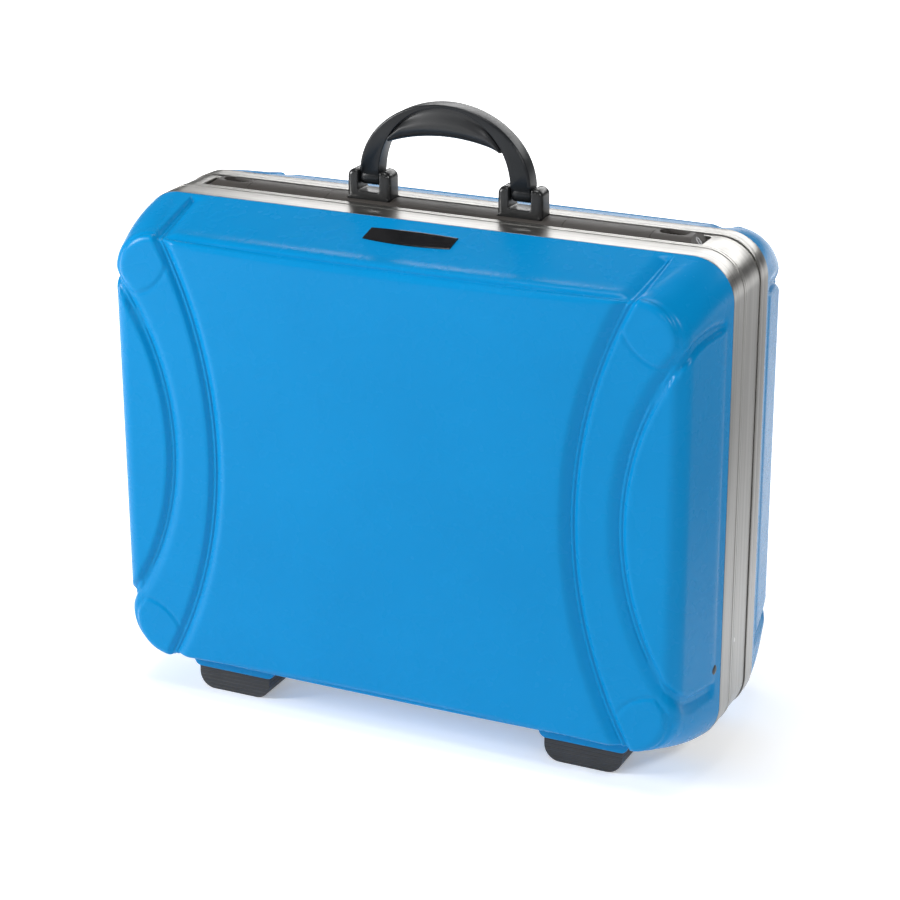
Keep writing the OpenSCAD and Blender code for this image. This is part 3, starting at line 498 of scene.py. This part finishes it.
GROOVE = rounded_section([(-9.5, 0.0), (-7.5, 0.12), (-5.2, -0.25), (-2.6, -2.6), (-1.6, -2.8),
                          (-0.6, -2.1), (0.6, -2.0), (1.4, -2.8), (2.2, -2.8), (3.2, -2.2),
                          (7.0, -0.95), (10.5, -0.12), (13.0, 0.0)], 0.42)
CREASE = rounded_section([(-9.0, 1.0), (-5.5, 0.9), (-2.6, 0.1), (-0.4, -2.4), (0.6, -2.5),
                          (3.4, -0.5), (6.0, 0.25), (9.0, 0.3), (16.0, 0.0)], 0.55)
print("groove bottom", round(float(GROOVE(-1.5)), 2), "mm, crease bottom",
      round(float(CREASE(0.1)), 2), "mm")

# %% [markdown]
# The height of the whole relief is then a sum: the groove sections along their lines, the
# crease along the top and bottom of the panel, a shallow ring round each corner pad, and a
# small step up at each groove, so that the panel stands highest. Masks end the grooves in
# round tips before they reach the frame. The corner walls also swell a little. `LENS` and
# `CREST` lift the lens and the pads, `RING` is the ring's depth, `FULL` the swelling and
# `RAISED` one step.

# %% The relief
LENS, CREST, RING, FULL, RAISED = 0.8, 0.5, 0.85, 3.0, 0.8
PAD_HIGH, PAD_LOW = (194.9, 147.0, 30.5), (222.0, 166.0, 39.5)


def pad_distance(x, z):
    """Distance outside the corner pad, whose outline is where two circles overlap: the larger of
    the distances from both circles, with the corner between them softened."""
    high, low = [np.hypot(np.abs(x) - cx, np.abs(z) - cz) - r for cx, cz, r in (PAD_HIGH, PAD_LOW)]
    apart = high - low
    return (high + low + np.sqrt(apart ** 2 + 6.0)) / 2


def fullness(P, half):
    """How much a corner's wall swells: most at the middle of the depth and of the corner's turn.
    It is the sine of twice the turn times a parabola of the depth."""
    a, b, r = half.outline(P[..., 1])
    u, v = np.maximum(np.abs(P[..., 0]) - a + r, 0.0), np.maximum(np.abs(P[..., 2]) - b + r, 0.0)
    depth = np.clip(P[..., 1] / SHELL_D, 0.0, 1.0)
    return 2 * u * v / np.maximum(u * u + v * v, 1e-6) * 4 * depth * (1.0 - depth)


def relief(P, half):
    """Height of the relief in millimetres at each point (x, t, z) of a shell's sheet."""
    x, z = folded_out(P, half)
    t = P[..., 1]
    e_in, e_out = inner_distance(x, z, half), outer_distance(x, z, half)
    valley = half.face_b + 2.2 + 3.4 * np.minimum(np.abs(x) / 180.0, 1.2) ** 2
    s = np.abs(z) - valley
    crease = CREASE(s) * smooth((e_in - 1.0) / 9.0)
    live_in = smooth((t - 3.5) / 4.0)
    h = crease + GROOVE(e_in) * live_in * smooth((e_out + 2.0) / 6.0)
    live_out = smooth((t - 8.0) / 5.0)
    h = h + (GROOVE(e_out) + LENS * smooth(-e_out / 4.0)) * live_out
    d = pad_distance(x, z)
    pad = CREST * smooth((1.0 - d) / 3.0) - RING * bump(d, 1.5)
    h = h + pad * smooth((-e_in - 3.0) / 3.0) * smooth((e_out - 2.0) / 4.0)
    on_face = smooth((t - 52.0) / 13.0)
    panel = smooth((e_in - 1.0) / 9.0) * smooth(-(s + 1.0) / 5.0)
    h = h + RAISED * on_face * (panel + smooth((e_out - 1.0) / 9.0))
    return h * smooth((t + 0.3) / 2.5) + FULL * fullness(P, half)


# %% [markdown]
# ## One grid for the whole sheet
# The rows and columns run from rim to rim without a seam: the outer rings of the grid are the
# walls and its inner part is the face. Columns are bent to follow both grooves, and lie close
# together there, so that a narrow ledge stays sharp with few points.

# %% The sheet grid
INNER = 0.84


def on_outline(p, q, a, b, r):
    """The point of a rounded rectangle for the edge point (p, q) of the unit square. Away from
    the corners it is (p a, q b). Within r of a corner it moves along the corner's arc, 45
    degrees for each of the two sides."""
    along_x = np.abs(q) >= np.abs(p)
    u = np.where(along_x, np.abs(p) * a - (a - r), np.abs(q) * b - (b - r)) / r
    turn = np.radians(45.0) * np.clip(u, 0.0, 1.0)
    on_arc = u > 0
    x = np.where(along_x, np.where(on_arc, a - r + r * np.sin(turn), np.abs(p) * a),
                 np.where(on_arc, a - r + r * np.cos(turn), a))
    z = np.where(along_x, np.where(on_arc, b - r + r * np.cos(turn), b),
                 np.where(on_arc, b - r + r * np.sin(turn), np.abs(q) * b))
    return np.sign(p) * x, np.sign(q) * z


def spread(stops, counts):
    """Numbers with counts[i] equal steps between stops[i] and stops[i + 1]."""
    parts = [np.linspace(s0, s1, n, endpoint=False) for s0, s1, n in zip(stops, stops[1:], counts)]
    return np.concatenate(parts + [[stops[-1]]])


def both_ways(values):
    return np.concatenate([-values[:0:-1], values])


def bent(u, knots, targets):
    """Moves numbers so that each knot lands on its target, with straight lines between them."""
    out = targets[0]
    for k0, k1, t0, t1 in zip(knots, knots[1:], targets, targets[1:]):
        out = out + np.clip((u - k0) / (k1 - k0), 0.0, 1.0) * (t1 - t0)
    return out


def wall_depths(fine):
    """Depths of the wall rings, from the face's edge to the frame and down into the rim."""
    if not fine:
        return np.array([66.0, 64.0, 61.0, 57.0, 40.0, 20.0, 0.0, -0.02, -RIM_D])
    turn = np.radians(np.linspace(87.0, 16.0, 24))
    soft = SHELL_D - 14.0 + 14.0 * np.sin(turn)
    rest = spread([soft[-1], 48.0, 12.0, 0.0], [10, 7, 8])[1:]
    return np.concatenate([soft, rest, [-0.02, -RIM_D, -RIM_D - 0.01]])


def shell_sheet(half, columns, rows, t_ring, skin=0.0):
    """Grid of a shell's skin as (x, t, z). columns and rows are the face's grid lines as shares
    of its half size. Lines beyond the face carry the rings at the depths t_ring."""
    rings = INNER + (1.0 - INNER) * np.arange(1, len(t_ring) + 1) / len(t_ring)
    u = both_ways(np.concatenate([INNER * columns, rings]))
    v = both_ways(np.concatenate([INNER * rows, rings]))
    U, V = np.meshgrid(u, v, indexing="ij")
    level = np.maximum(np.abs(U), np.abs(V))
    on_wall = level > INNER + 1e-9
    on_ring = np.interp(level, np.append(INNER, rings), np.append(SHELL_D, t_ring))
    t = np.where(on_wall, on_ring, SHELL_D)
    a, b, r = half.outline(t, np.where(t < -RIM_D, SHELL_WALL, skin))
    height = np.where(on_wall, b, np.abs(V) / INNER * b)
    if skin == 0.0:
        k_mid, k_in, k_out = [INNER * value / half.face_a for value in (95.0, 149.9, 186.2)]
        groove_in = np.minimum(arc_x(height, IN_X, IN_Z, IN_R), 192.5) + SLANT * (SHELL_D - t)
        groove_out = np.minimum(arc_x(height, OUT_X, OUT_Z, OUT_R), half.face_a - 13.0)
        shrink = np.where(on_wall, level, INNER)
        target = [0.0, k_mid, groove_in / a * shrink, groove_out / half.face_a * shrink, shrink]
        U = np.sign(U) * bent(np.abs(U), [0.0, k_mid, k_in, k_out, shrink], target)
    safe = np.maximum(np.maximum(np.abs(U), np.abs(V)), 1e-9)
    p, q = U / safe, V / safe
    x_edge, z_edge = on_outline(p, q, a, b, r)
    share = np.minimum(safe / INNER, 1.0)
    pull = share ** 5
    x = np.where(on_wall, x_edge, p * share * a + (x_edge - p * a) * pull)
    z = np.where(on_wall, z_edge, q * share * b + (z_edge - q * b) * pull)
    t = np.where(t > 0, t * (SHELL_D - skin) / SHELL_D, t)
    return np.stack([x, t, z], -1)


def displaced(P, h):
    """Moves every point of a grid by h along the surface normal, which is the cross product of
    the directions to its neighbours."""
    n = np.cross(np.gradient(P, axis=1), np.gradient(P, axis=0))
    n /= np.maximum(np.linalg.norm(n, axis=-1, keepdims=True), 1e-9)
    return P + n * h[..., None]


# %% [markdown]
# ## Bosses over the feet
# A foot needs a level seat, and the leaning wall has none. The mould adds a pad that fills the
# wedge under the wall. It is lofted here as a stack of loops, each with round lower corners and
# sides that end inside the wall, so the pad grows out of the shell.

# %% Foot bosses
FOOT_X, BOSS_HALF_W, BOSS_Z, BOSS_R = 152.0, 36.5, 18.5, 6.0
BOSS_FRONT, BOSS_ROUND = 46.0, 2.0


def foot_boss(half, build):
    """Loops across X and Z at a row of depths t, from near the frame to the boss's front."""
    edge = BOSS_FRONT - BOSS_ROUND
    depth = spread([2.0, edge, BOSS_FRONT], [8, 6])
    past = (np.clip(depth, edge, BOSS_FRONT) - edge) / BOSS_ROUND
    shrink = BOSS_ROUND * (1.0 - np.sqrt(np.maximum(0.0, 1.0 - past ** 2)))
    turn = np.radians(np.linspace(0.0, 90.0, 9))
    w, r = BOSS_HALF_W - shrink[:, None], BOSS_R
    low_z = BOSS_Z - MID_Z + shrink[:, None]
    wall_z = half.inset(depth, half.top_lean, half.top_edge)[:, None] - HALF_H + SHELL_STEP + 1.6
    left_x, left_z = -w + r - r * np.cos(turn), low_z + r - r * np.sin(turn)
    roof = np.ones((len(depth), 1))
    wall_z = np.maximum(wall_z, low_z + r + 0.05)
    x = np.concatenate([-w * roof, left_x, -left_x[:, ::-1], w * roof], 1) + FOOT_X
    z = np.concatenate([wall_z, left_z, left_z[:, ::-1], wall_z], 1)
    P = half.in_place(np.stack([x, depth[:, None] * np.ones_like(x), z], -1))
    Q = P * [-1, 1, 1]
    for loops, turned in ((P, half.side > 0), (Q, half.side < 0)):
        build.closed(loops, turned)
    return build


# %% Make both shells
columns_mm = [0.0, 95.0, 136.0, 146.5, 157.0, 172.0, 182.5, 193.0]
column_counts = [6, 8, 12, 24, 10, 10, 24, 26]
fine_rows = spread([0.0, 0.68, 1.0], [36, 42])
plain_columns, plain_rows = spread([0.0, 1.0], [14]), spread([0.0, 1.0], [12])
for half in (BASE, LID):
    columns = spread([value / half.face_a for value in columns_mm] + [1.0], column_counts)
    outer = shell_sheet(half, columns, fine_rows, wall_depths(True))
    outer = displaced(outer, relief(outer, half))
    lining = shell_sheet(half, plain_columns, plain_rows, wall_depths(False), SHELL_WALL)
    shell = Build().grid(half.in_place(outer), flip=half.side < 0)
    shell.grid(half.in_place(lining), flip=half.side > 0)
    foot_boss(half, shell)
    moulding = shell.piece(half.name + "_moulding", half.body, "shell_plastic", SHELL, 60.0)
    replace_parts(moulding, half.name)

# %% [markdown]
# ## The frames
# The measured frames carry the steps of the drawn section. A real die rounds every edge, and
# the broad bands are not quite flat, which is why they catch the light in long streaks. A thin
# facing, closed like a flat tube, is swept round the outline just outside each measured band.

# %% Facings on the frames
CORNER_STEPS, STRIP_END = 24, 208.5


def frame_path():
    """Centres and outward directions (x, z, nx, nz) along the frame's outline: four quarter
    turns of CORNER_STEPS each, from the right side over the top."""
    count = CORNER_STEPS + 1
    ang = np.radians(np.concatenate([np.linspace(90 * k, 90 * k + 90, count) for k in range(4)]))
    sx = np.repeat([1, -1, -1, 1], count)
    sz = np.repeat([1, 1, -1, -1], count)
    nx, nz = np.cos(ang), np.sin(ang)
    return np.stack([sx * (HALF_W - CORNER_R), sz * (HALF_H - CORNER_R), nx, nz], -1)


def facing(path, section):
    """Sweeps a closed section of points (y, u), u inwards from the frame's outer surface."""
    y, u = np.array(section).T
    x = path[:, None, 0] + path[:, None, 2] * (CORNER_R - u)
    z = path[:, None, 1] + path[:, None, 3] * (CORNER_R - u)
    return np.stack([x, y + 0 * x, MID_Z + z], -1)


def band_section(y0, y1, u, edge, crown=0.0, deep=1.5, steps=6):
    """A band from y0 to y1 whose face lies at u, with edges of radius edge and a middle that
    stands crown further out. It closes deep inside the metal."""
    turn = np.radians(np.linspace(0.0, 90.0, 7))
    left = np.stack([y0 + edge * (1 - np.sin(turn)), u + edge * (1 - np.cos(turn))], -1)[::-1]
    share = np.linspace(0.0, 1.0, steps + 2)[1:-1]
    middle = np.stack([y0 + edge + (y1 - y0 - 2 * edge) * share,
                       u - crown * 4 * share * (1 - share)], -1)
    right = np.stack([y1 - edge * (1 - np.sin(turn)), u + edge * (1 - np.cos(turn))], -1)
    return np.concatenate([[[y0, deep]], left, middle, right, [[y1, deep]]])


loop = frame_path()
lid_facing = Build()
for section in (band_section(-37.3, -15.9, 0.30, 0.5, 0.16),
                band_section(-16.1, -12.95, -0.08, 0.6)):
    lid_facing.grid(facing(loop, section), wrap_rows=True, wrap_cols=True)
lid_facing.piece("lid_frame_facing", "lid", "frame_aluminium", ALUMINIUM, 40.0)
base_facing = Build()
for section in (band_section(-12.65, -10.1, -0.08, 0.5),
                band_section(20.7, 26.75, -0.08, 0.7, 0.1),
                band_section(26.6, 37.3, 0.30, 0.5, 0.14)):
    base_facing.grid(facing(loop, section), wrap_rows=True, wrap_cols=True)
# the middle band stops at both ends of the latch strip
first, last = [np.array([[x, HALF_H - CORNER_R, 0.0, 1.0]]) for x in (-STRIP_END, STRIP_END)]
order = np.concatenate([first, loop[CORNER_STEPS + 1:], loop[:CORNER_STEPS + 1], last])
middle = facing(order, band_section(-10.3, 20.9, 0.90, 0.3, 0.35, 1.8, 12))
base_facing.grid(middle, wrap_cols=True, caps=("first", "last"))
base_facing.piece("base_frame_facing", "base", "frame_aluminium", ALUMINIUM, 40.0)

# %% [markdown]
# ## Rounded blocks
# Brackets, the arch of the handle and many other moulded parts are an outline carried straight
# from front to back, with round edges. The outline comes from corners with a fillet radius
# each. The round edge is a stack of loops that shrink along a quarter circle.

# %% Outlines and rounded prisms
def filleted(corners, steps=8):
    """An outline (n, 2) through corners (x, z, radius): each corner becomes an arc of its radius
    that touches both sides."""
    C = np.array([c[:2] for c in corners], float)
    before, after = np.roll(C, 1, 0) - C, np.roll(C, -1, 0) - C
    before /= np.linalg.norm(before, axis=1, keepdims=True)
    after /= np.linalg.norm(after, axis=1, keepdims=True)
    half_angle = np.arccos(np.clip((before * after).sum(1), -1, 1)) / 2
    r = np.array([c[2] for c in corners], float)
    middle = (before + after) / np.linalg.norm(before + after, axis=1, keepdims=True)
    centre = C + middle * (r / np.sin(half_angle))[:, None]
    reach = (r / np.tan(half_angle))[:, None]
    first, last = C + before * reach - centre, C + after * reach - centre
    cross = first[:, 0] * last[:, 1] - first[:, 1] * last[:, 0]
    sweep = np.arctan2(cross, (first * last).sum(1))[:, None]
    ang = np.arctan2(first[:, 1], first[:, 0])[:, None] + sweep * np.linspace(0, 1, steps)[None]
    arcs = centre[:, None] + r[:, None, None] * np.stack([np.cos(ang), np.sin(ang)], -1)
    return arcs.reshape(-1, 2)


def inward(outline):
    """Unit directions that point to the inside of an anticlockwise outline."""
    along = np.roll(outline, -1, 0) - np.roll(outline, 1, 0)
    along /= np.maximum(np.linalg.norm(along, axis=1, keepdims=True), 1e-9)
    return np.stack([-along[:, 1], along[:, 0]], -1)


def rounded_prism(outline, y0, y1, edge, steps=6):
    """Loops of (x, y, z) from y0 to y1. Near both ends the outline shrinks by edge along a
    quarter circle; edge may differ from point to point."""
    edge = np.broadcast_to(edge, len(outline)).astype(float)[None, :]
    turn = np.radians(np.linspace(0.0, 90.0, steps))[:, None]
    shrink = np.concatenate([edge * (1 - np.sin(turn)), (edge * (1 - np.sin(turn)))[::-1]])
    y = np.concatenate([y0 + edge * (1 - np.cos(turn)), (y1 - edge * (1 - np.cos(turn)))[::-1]])
    flat = outline[None] + inward(outline)[None] * shrink[..., None]
    return np.stack([flat[..., 0], y, flat[..., 1]], -1)


# %% [markdown]
# ## Handle brackets
# Each bracket is one glossy block with two round-topped posts. The leg of the handle turns in
# the gap between them. The outer edges are very round, and the edges of the gap and of the
# foot are crisp.

# %% Brackets
PIN_Y, PIN_Z, LEG_X, BRACKET_HALF_D = 3.5, 419.5, 63.0, 9.0
w, gap, base_z, saddle_z, post_z = 18.25, 9.05, 401.8, 408.9, 425.5
bracket_outline = filleted([(-w, base_z, 3.6), (w, base_z, 3.6), (w, post_z, 5.8),
                            (gap, post_z, 2.4), (gap, saddle_z, 1.6), (-gap, saddle_z, 1.6),
                            (-gap, post_z, 2.4), (-w, post_z, 5.8)])
in_gap = (np.abs(bracket_outline[:, 0]) < gap + 1.0) & (bracket_outline[:, 1] > base_z + 3.0)
low_edge = bracket_outline[:, 1] < base_z + 2.5
edge = np.where(in_gap, 1.3, np.where(low_edge, 1.0, 3.8))
for name, sign in (("right_handle_bracket", 1), ("left_handle_bracket", -1)):
    outline = bracket_outline + [sign * LEG_X, 0.0]
    loops = rounded_prism(outline, PIN_Y - BRACKET_HALF_D, PIN_Y + BRACKET_HALF_D, edge)
    block = Build().closed(loops)
    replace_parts(block.piece(name + "_block", "base", "bracket_plastic", BRACKET, 50.0), name)

# %% [markdown]
# ## The handle
# The arch is a flat-faced bow. Its legs are broad, and its crown thins to a web. The outer edge
# is rounded more on the legs than on the crown, and the inner edge is nearly sharp. A barrel at
# the foot of each leg turns on the pin.

# %% Arch
ARCH_Z, ARCH_OUT, ARCH_IN, ARCH_TOP, WEB = PIN_Z + 3.5, 71.15, 54.85, 59.0, 2.5
turn = np.radians(np.linspace(0.0, 180.0, 97))
outer_bow = np.stack([ARCH_OUT * np.cos(turn), ARCH_Z + ARCH_TOP * np.sin(turn)], -1)
inner_bow = np.stack([ARCH_IN * np.cos(turn), ARCH_Z + (ARCH_TOP - WEB) * np.sin(turn)], -1)[::-1]
outline = np.concatenate([[[ARCH_OUT, PIN_Z]], outer_bow, [[-ARCH_OUT, PIN_Z]],
                          [[-ARCH_IN, PIN_Z]], inner_bow, [[ARCH_IN, PIN_Z]]])
steep = np.abs(np.cos(turn))
outer_edge = np.concatenate([[2.0], 1.1 + 0.9 * smooth(steep * 1.4), [2.0]])
edge = np.concatenate([outer_edge, [0.7], np.full(len(turn), 0.7), [0.7]])
loops = rounded_prism(outline, PIN_Y - 7.5, PIN_Y + 7.5, edge, steps=8)
depth = 1.0 - 0.28 * smooth((PIN_Z + 6.5 - loops[..., 2]) / 4.5)
loops[..., 1] = PIN_Y + (loops[..., 1] - PIN_Y) * depth
arch = Build().closed(loops)


def turned(profile, centre, axis, steps=32):
    """Turns a profile of (along, radius) pairs round an axis through a centre."""
    along, radius = np.array(profile, float).T
    ang = 2 * np.pi * np.arange(steps) / steps
    axis = np.array(axis, float) / np.linalg.norm(axis)
    side = np.cross(axis, [0.0, 0.0, 1.0] if abs(axis[2]) < 0.9 else [1.0, 0.0, 0.0])
    side /= np.linalg.norm(side)
    over = np.cross(axis, side)
    ring = np.cos(ang)[:, None] * side + np.sin(ang)[:, None] * over
    return np.array(centre) + along[:, None, None] * axis + radius[:, None, None] * ring[None]


barrel = [(-8.15, 5.2), (-7.75, 6.0), (-7.0, 6.4), (7.0, 6.4), (7.75, 6.0), (8.15, 5.2)]
for x in (LEG_X, -LEG_X):
    arch.closed(turned(barrel, (x, PIN_Y, PIN_Z), (1.0, 0.0, 0.0)))
arch_bow = arch.piece("handle_arch_bow", "handle", "handle_plastic", HANDLE, 50.0)
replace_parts(arch_bow, "handle_arch")

# %% [markdown]
# The grip is a pad for the fingers under the crown of the arch. Its section is narrow at the
# top and swells to a round lower edge. Its underside is a shallow arc. The surface is worked
# out from the height between that arc and the arch above it.

# %% Grip
GRIP_X, GRIP_R, GRIP_LOW, GRIP_HALF_D, GRIP_ROUND = 45.85, 145.0, 456.5, 10.0, 8.5
x = np.linspace(-GRIP_X, GRIP_X, 81)[:, None]
low_z = GRIP_LOW - GRIP_R + np.sqrt(GRIP_R ** 2 - x ** 2)
high_z = ARCH_Z + (ARCH_TOP - WEB) * np.sqrt(1.0 - (x / ARCH_IN) ** 2) - 0.05
turn = np.radians(np.linspace(-90.0, 90.0, 25))[None, :]
round_y, round_z = GRIP_HALF_D * np.sin(turn), GRIP_ROUND * (1.0 - np.cos(turn))
share = np.linspace(0.0, 1.0, 13)[None, 1:]
side_y = GRIP_HALF_D - 4.4 * smooth(share * 1.05)
tall = np.maximum(high_z - low_z, 0.3)
lower = np.minimum(GRIP_ROUND, 0.6 * tall)
z_round = low_z + round_z / GRIP_ROUND * lower
z_side = low_z + lower + (tall - lower) * share
y = np.concatenate([-side_y[:, ::-1] + 0 * x, round_y + 0 * x, side_y + 0 * x], 1)
z = np.concatenate([z_side[:, ::-1], z_round, z_side], 1)
grip = Build().closed(np.stack([x + 0 * y, PIN_Y + y, z], -1))
grip_pad = grip.piece("handle_grip_pad", "handle", "grip_plastic", GRIP, 50.0)
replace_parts(grip_pad, "handle_grip")

# %% [markdown]
# ## Softened copies
# Feet, latch levers, housings and the plate have the right shape but edges like knives. A copy
# of each is cleaned into large faces, and Blender's Bevel rounds its edges. Bevel only takes
# material away, so the copy never touches what the measured piece did not.

# %% Bevelled copies
def softened(name, width, body, segments=3, angle=28.0):
    """A copy of a measured piece with every sharp edge rounded to a width in millimetres."""
    source = frame["nodes"][name]
    mesh = source.data.copy()
    work = bmesh.new()
    work.from_mesh(mesh)
    bmesh.ops.remove_doubles(work, verts=work.verts, dist=0.01 * MM)
    bmesh.ops.dissolve_limit(work, angle_limit=math.radians(0.5), verts=work.verts,
                             edges=work.edges)
    work.to_mesh(mesh)
    work.free()
    mesh.name = name + "_soft"
    copy = bpy.data.objects.new(name + "_soft", mesh)
    bevel = copy.modifiers.new("round_edges", "BEVEL")
    bevel.width, bevel.segments, bevel.limit_method = width * MM, segments, "ANGLE"
    bevel.angle_limit, bevel.harden_normals = math.radians(angle), True
    hand_in(copy, body, 35.0)
    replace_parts(copy, name)
    return copy


softened("base_feet", 2.2, "base", 4)
softened("lid_feet", 2.2, "lid", 4)
for name, body in (("left_latch_lever", "left_lever"), ("right_latch_lever", "right_lever"),
                   ("left_lock_housing", "base"), ("right_lock_housing", "base"),
                   ("handle_plate", "base")):
    softened(name, 0.35, body, 2)
softened("left_thumb_slide", 0.6, "left_slide")
softened("right_thumb_slide", 0.6, "right_slide")

# %% [markdown]
# ## The badge
# The badge is a thin black plate on the leaning top wall. Both long edges bow outwards, and a
# narrow bevel runs all round it. It is drawn flat as an outline, given its thickness, and then
# laid on the slope.

# %% Badge plate
BADGE_HALF, BADGE_BACK, BADGE_FRONT, BADGE_FROM_FRAME = 35.8, 8.2, -8.0, 24.2


def badge_outline(inset):
    """The bowed outline (x, s), each side moved in by inset: a parabola for each long edge."""
    share = np.linspace(-1.0, 1.0, 41)
    x = (BADGE_HALF - inset) * share
    front = np.stack([x, BADGE_FRONT + inset - 2.6 * (1 - share ** 2)], -1)
    back = np.stack([-x, BADGE_BACK - inset + 1.6 * (1 - share ** 2)], -1)
    return np.concatenate([front, back])


lean = math.atan2(LID.top_lean, SHELL_D)
across = np.eye(3)[0]
upslope = np.array([0, math.cos(lean), math.sin(lean)])
outward = np.array([0, -math.sin(lean), math.cos(lean)])
seat = np.array([0.0, -FRAME_Y - BADGE_FROM_FRAME,
                 TOP_Z - SHELL_STEP - LID.top_lean * BADGE_FROM_FRAME / SHELL_D])


def on_slope(flat, height):
    """Points of the flat outline (x, s) at a height above the lid's top wall."""
    return seat + flat[:, :1] * across + flat[:, 1:] * upslope + height * outward


bevel_steps = [(0.0, -0.8), (0.0, 0.35), (0.12, 0.55), (1.1, 0.95), (1.3, 0.98), (2.6, 1.0),
               (3.4, 1.0)]
rings = [on_slope(badge_outline(inset), height) for inset, height in bevel_steps]
plate = Build().closed(np.stack(rings), flip=False)
badge = plate.piece("badge_plate_bevelled", "lid", "badge_plastic", BADGE, 20.0)
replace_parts(badge, "badge_plate")

# %% [markdown]
# ## Rivet heads on the side walls
# Each stay hangs on a rivet through the lid's side wall and a stud through the base frame. A
# domed head is turned round an axis square to the wall it sits on.

# %% Rivet heads
def dome(radius, height, seat=0.5, steps=7):
    """Profile of a domed head: from its seat below the surface up an ellipse to the top."""
    turn = np.radians(np.linspace(0.0, 88.0, steps))
    return [(-seat, radius)] + [(height * math.sin(a), radius * math.cos(a)) for a in turn]


lean = math.atan2(LID.side_lean, SHELL_D)
pivot_y, pivot_z = -47.995, 85.342
stud_y, stud_z = -7.5, 93.3
depth = -pivot_y - FRAME_Y
wall_x = HALF_W - SHELL_STEP - float(LID.inset(np.array(depth), LID.side_lean, LID.side_edge))
off_wall = (math.cos(lean), -math.sin(lean), 0.0)
heads = Build().closed(turned(dome(4.0, 1.3), (wall_x, pivot_y, pivot_z), off_wall))
heads.mirrored().piece("stay_rivet_heads", "lid", "rivet_black", RIVET, 50.0)
stud_head = turned(dome(1.9, 0.7), (HALF_W - 0.9, stud_y, stud_z), (1.0, 0.0, 0.0), 24)
studs = Build().closed(stud_head)
studs.mirrored().piece("stay_stud_heads", "base", "stay_steel", STEEL, 50.0)

# %% [markdown]
# ## Camera and light
# The case stands on a white floor in a room that is nearly dark. The key lamp stands low at
# the left, so that each groove has a lit side and a dark side. Small lamps at the front and the
# right draw narrow highlights, and a wide one behind lights the metal from the back. The floor
# has a painted glow, weak near the case and stronger further off, so that it comes out white. It
# has a painted shade at the right, outside the picture, which gives the metal something dark to
# mirror.

# %% Camera
camera_data = bpy.data.cameras.new("camera")
camera_data.sensor_width, camera_data.lens, camera_data.clip_end = 36.0, 101.455, 50.0
camera = bpy.data.objects.new("camera", camera_data)


def stand(item, across, over, away, place):
    """Puts a camera or lamp at a place with its own X, Y and Z along three directions."""
    rows = np.concatenate([np.stack([across, over, away], 1), np.array(place)[:, None]], 1)
    item.matrix_world = Matrix([*rows.tolist(), [0.0, 0.0, 0.0, 1.0]])
    bpy.context.scene.collection.objects.link(item)


stand(camera, (0.90453, 0.42639, -0.00362), (-0.14806, 0.32201, 0.93509),
      (0.39988, -0.84528, 0.35440), (0.79784, -1.6806, 0.91126))
bpy.context.scene.camera = camera
print("camera lens", camera_data.lens, "mm")

# %% Floor
floor_mesh = bpy.data.meshes.new("floor")
floor_corners = [(-12, -12, 0), (12, -12, 0), (12, 12, 0), (-12, 12, 0)]
floor_mesh.from_pydata(floor_corners, [], [(0, 1, 2, 3)])
floor = bpy.data.objects.new("floor", floor_mesh)
bpy.context.scene.collection.objects.link(floor)
floor_finish = Finish("floor_white", Roughness=0.9, Specular_IOR_Level=0.1, Emission_Strength=1.0)
# Painted glow: the floor's emission is weak near the case and rises to full far off and behind it,
# so that the floor comes out white.
metres = floor_finish.node("VectorMath", {0: floor_finish.place()}, out="Value",
                           operation="LENGTH")
away = metres.ramp(1.25, 2.4)
behind = (floor_finish.axis("Y").ramp(-500.0, 1500.0) + away).clip()
# Painted shade: at the right of the case, outside the picture, the floor's glow and colour are
# darkened so that the metal mirrors something dark.
shade = (floor_finish.axis("X") + 0.26 * floor_finish.axis("Y")).ramp(390.0, 680.0) * (1.0 - away)
painted_glow = floor_finish.tint(behind * (1.0 - 0.95 * shade), (0.12, 0.12, 0.12), (1.0, 1.0, 1.0))
floor_finish.feed("Emission Color", painted_glow)
paint = floor_finish.tint(shade, (0.94, 0.945, 0.955), (0.42, 0.425, 0.435))
floor_finish.feed("Base Color", paint)
floor_mesh.materials.append(floor_finish.material)
print("floor", floor_finish.material.name)


# %% Lamps and room
def lamp(name, place, target, size, power):
    """An area light of a size in metres at a place, turned so that it faces the target."""
    data = bpy.data.lights.new(name, "AREA")
    data.shape, data.size, data.size_y = "RECTANGLE", size[0], size[1]
    data.energy = power
    away = np.array(place, float) - np.array(target, float)
    away /= np.linalg.norm(away)
    across = np.cross([0.0, 0.0, 1.0], away)
    across /= np.linalg.norm(across)
    stand(bpy.data.objects.new(name, data), across, np.cross(away, across), away, place)


lamp("top_light", (-0.1, -0.1, 2.4), (0.0, 0.0, 0.2), (1.0, 1.0), 22.0)
lamp("key_light", (-1.75, -1.05, 0.95), (0.0, 0.0, 0.2), (0.6, 0.7), 40.0)
lamp("front_light", (-0.55, -2.25, 1.40), (0.0, 0.0, 0.2), (0.30, 0.30), 4.0)
lamp("edge_light", (0.60, -2.25, 0.95), (0.0, 0.0, 0.2), (0.22, 0.22), 4.5)
lamp("corner_light", (1.65, -0.75, 1.45), (0.1, 0.0, 0.25), (0.30, 0.30), 15.0)
lamp("back_light", (0.0, 2.4, 1.50), (0.0, 0.0, 0.3), (3.4, 0.5), 30.0)

world = bpy.data.worlds.new("room")
bpy.context.scene.world = world
world.use_nodes = True
ground = world.node_tree.nodes["Background"]
ground.inputs["Color"].default_value = (1.0, 1.0, 1.0, 1.0)
ground.inputs["Strength"].default_value = 0.12
bpy.context.scene.view_settings.view_transform = "Standard"
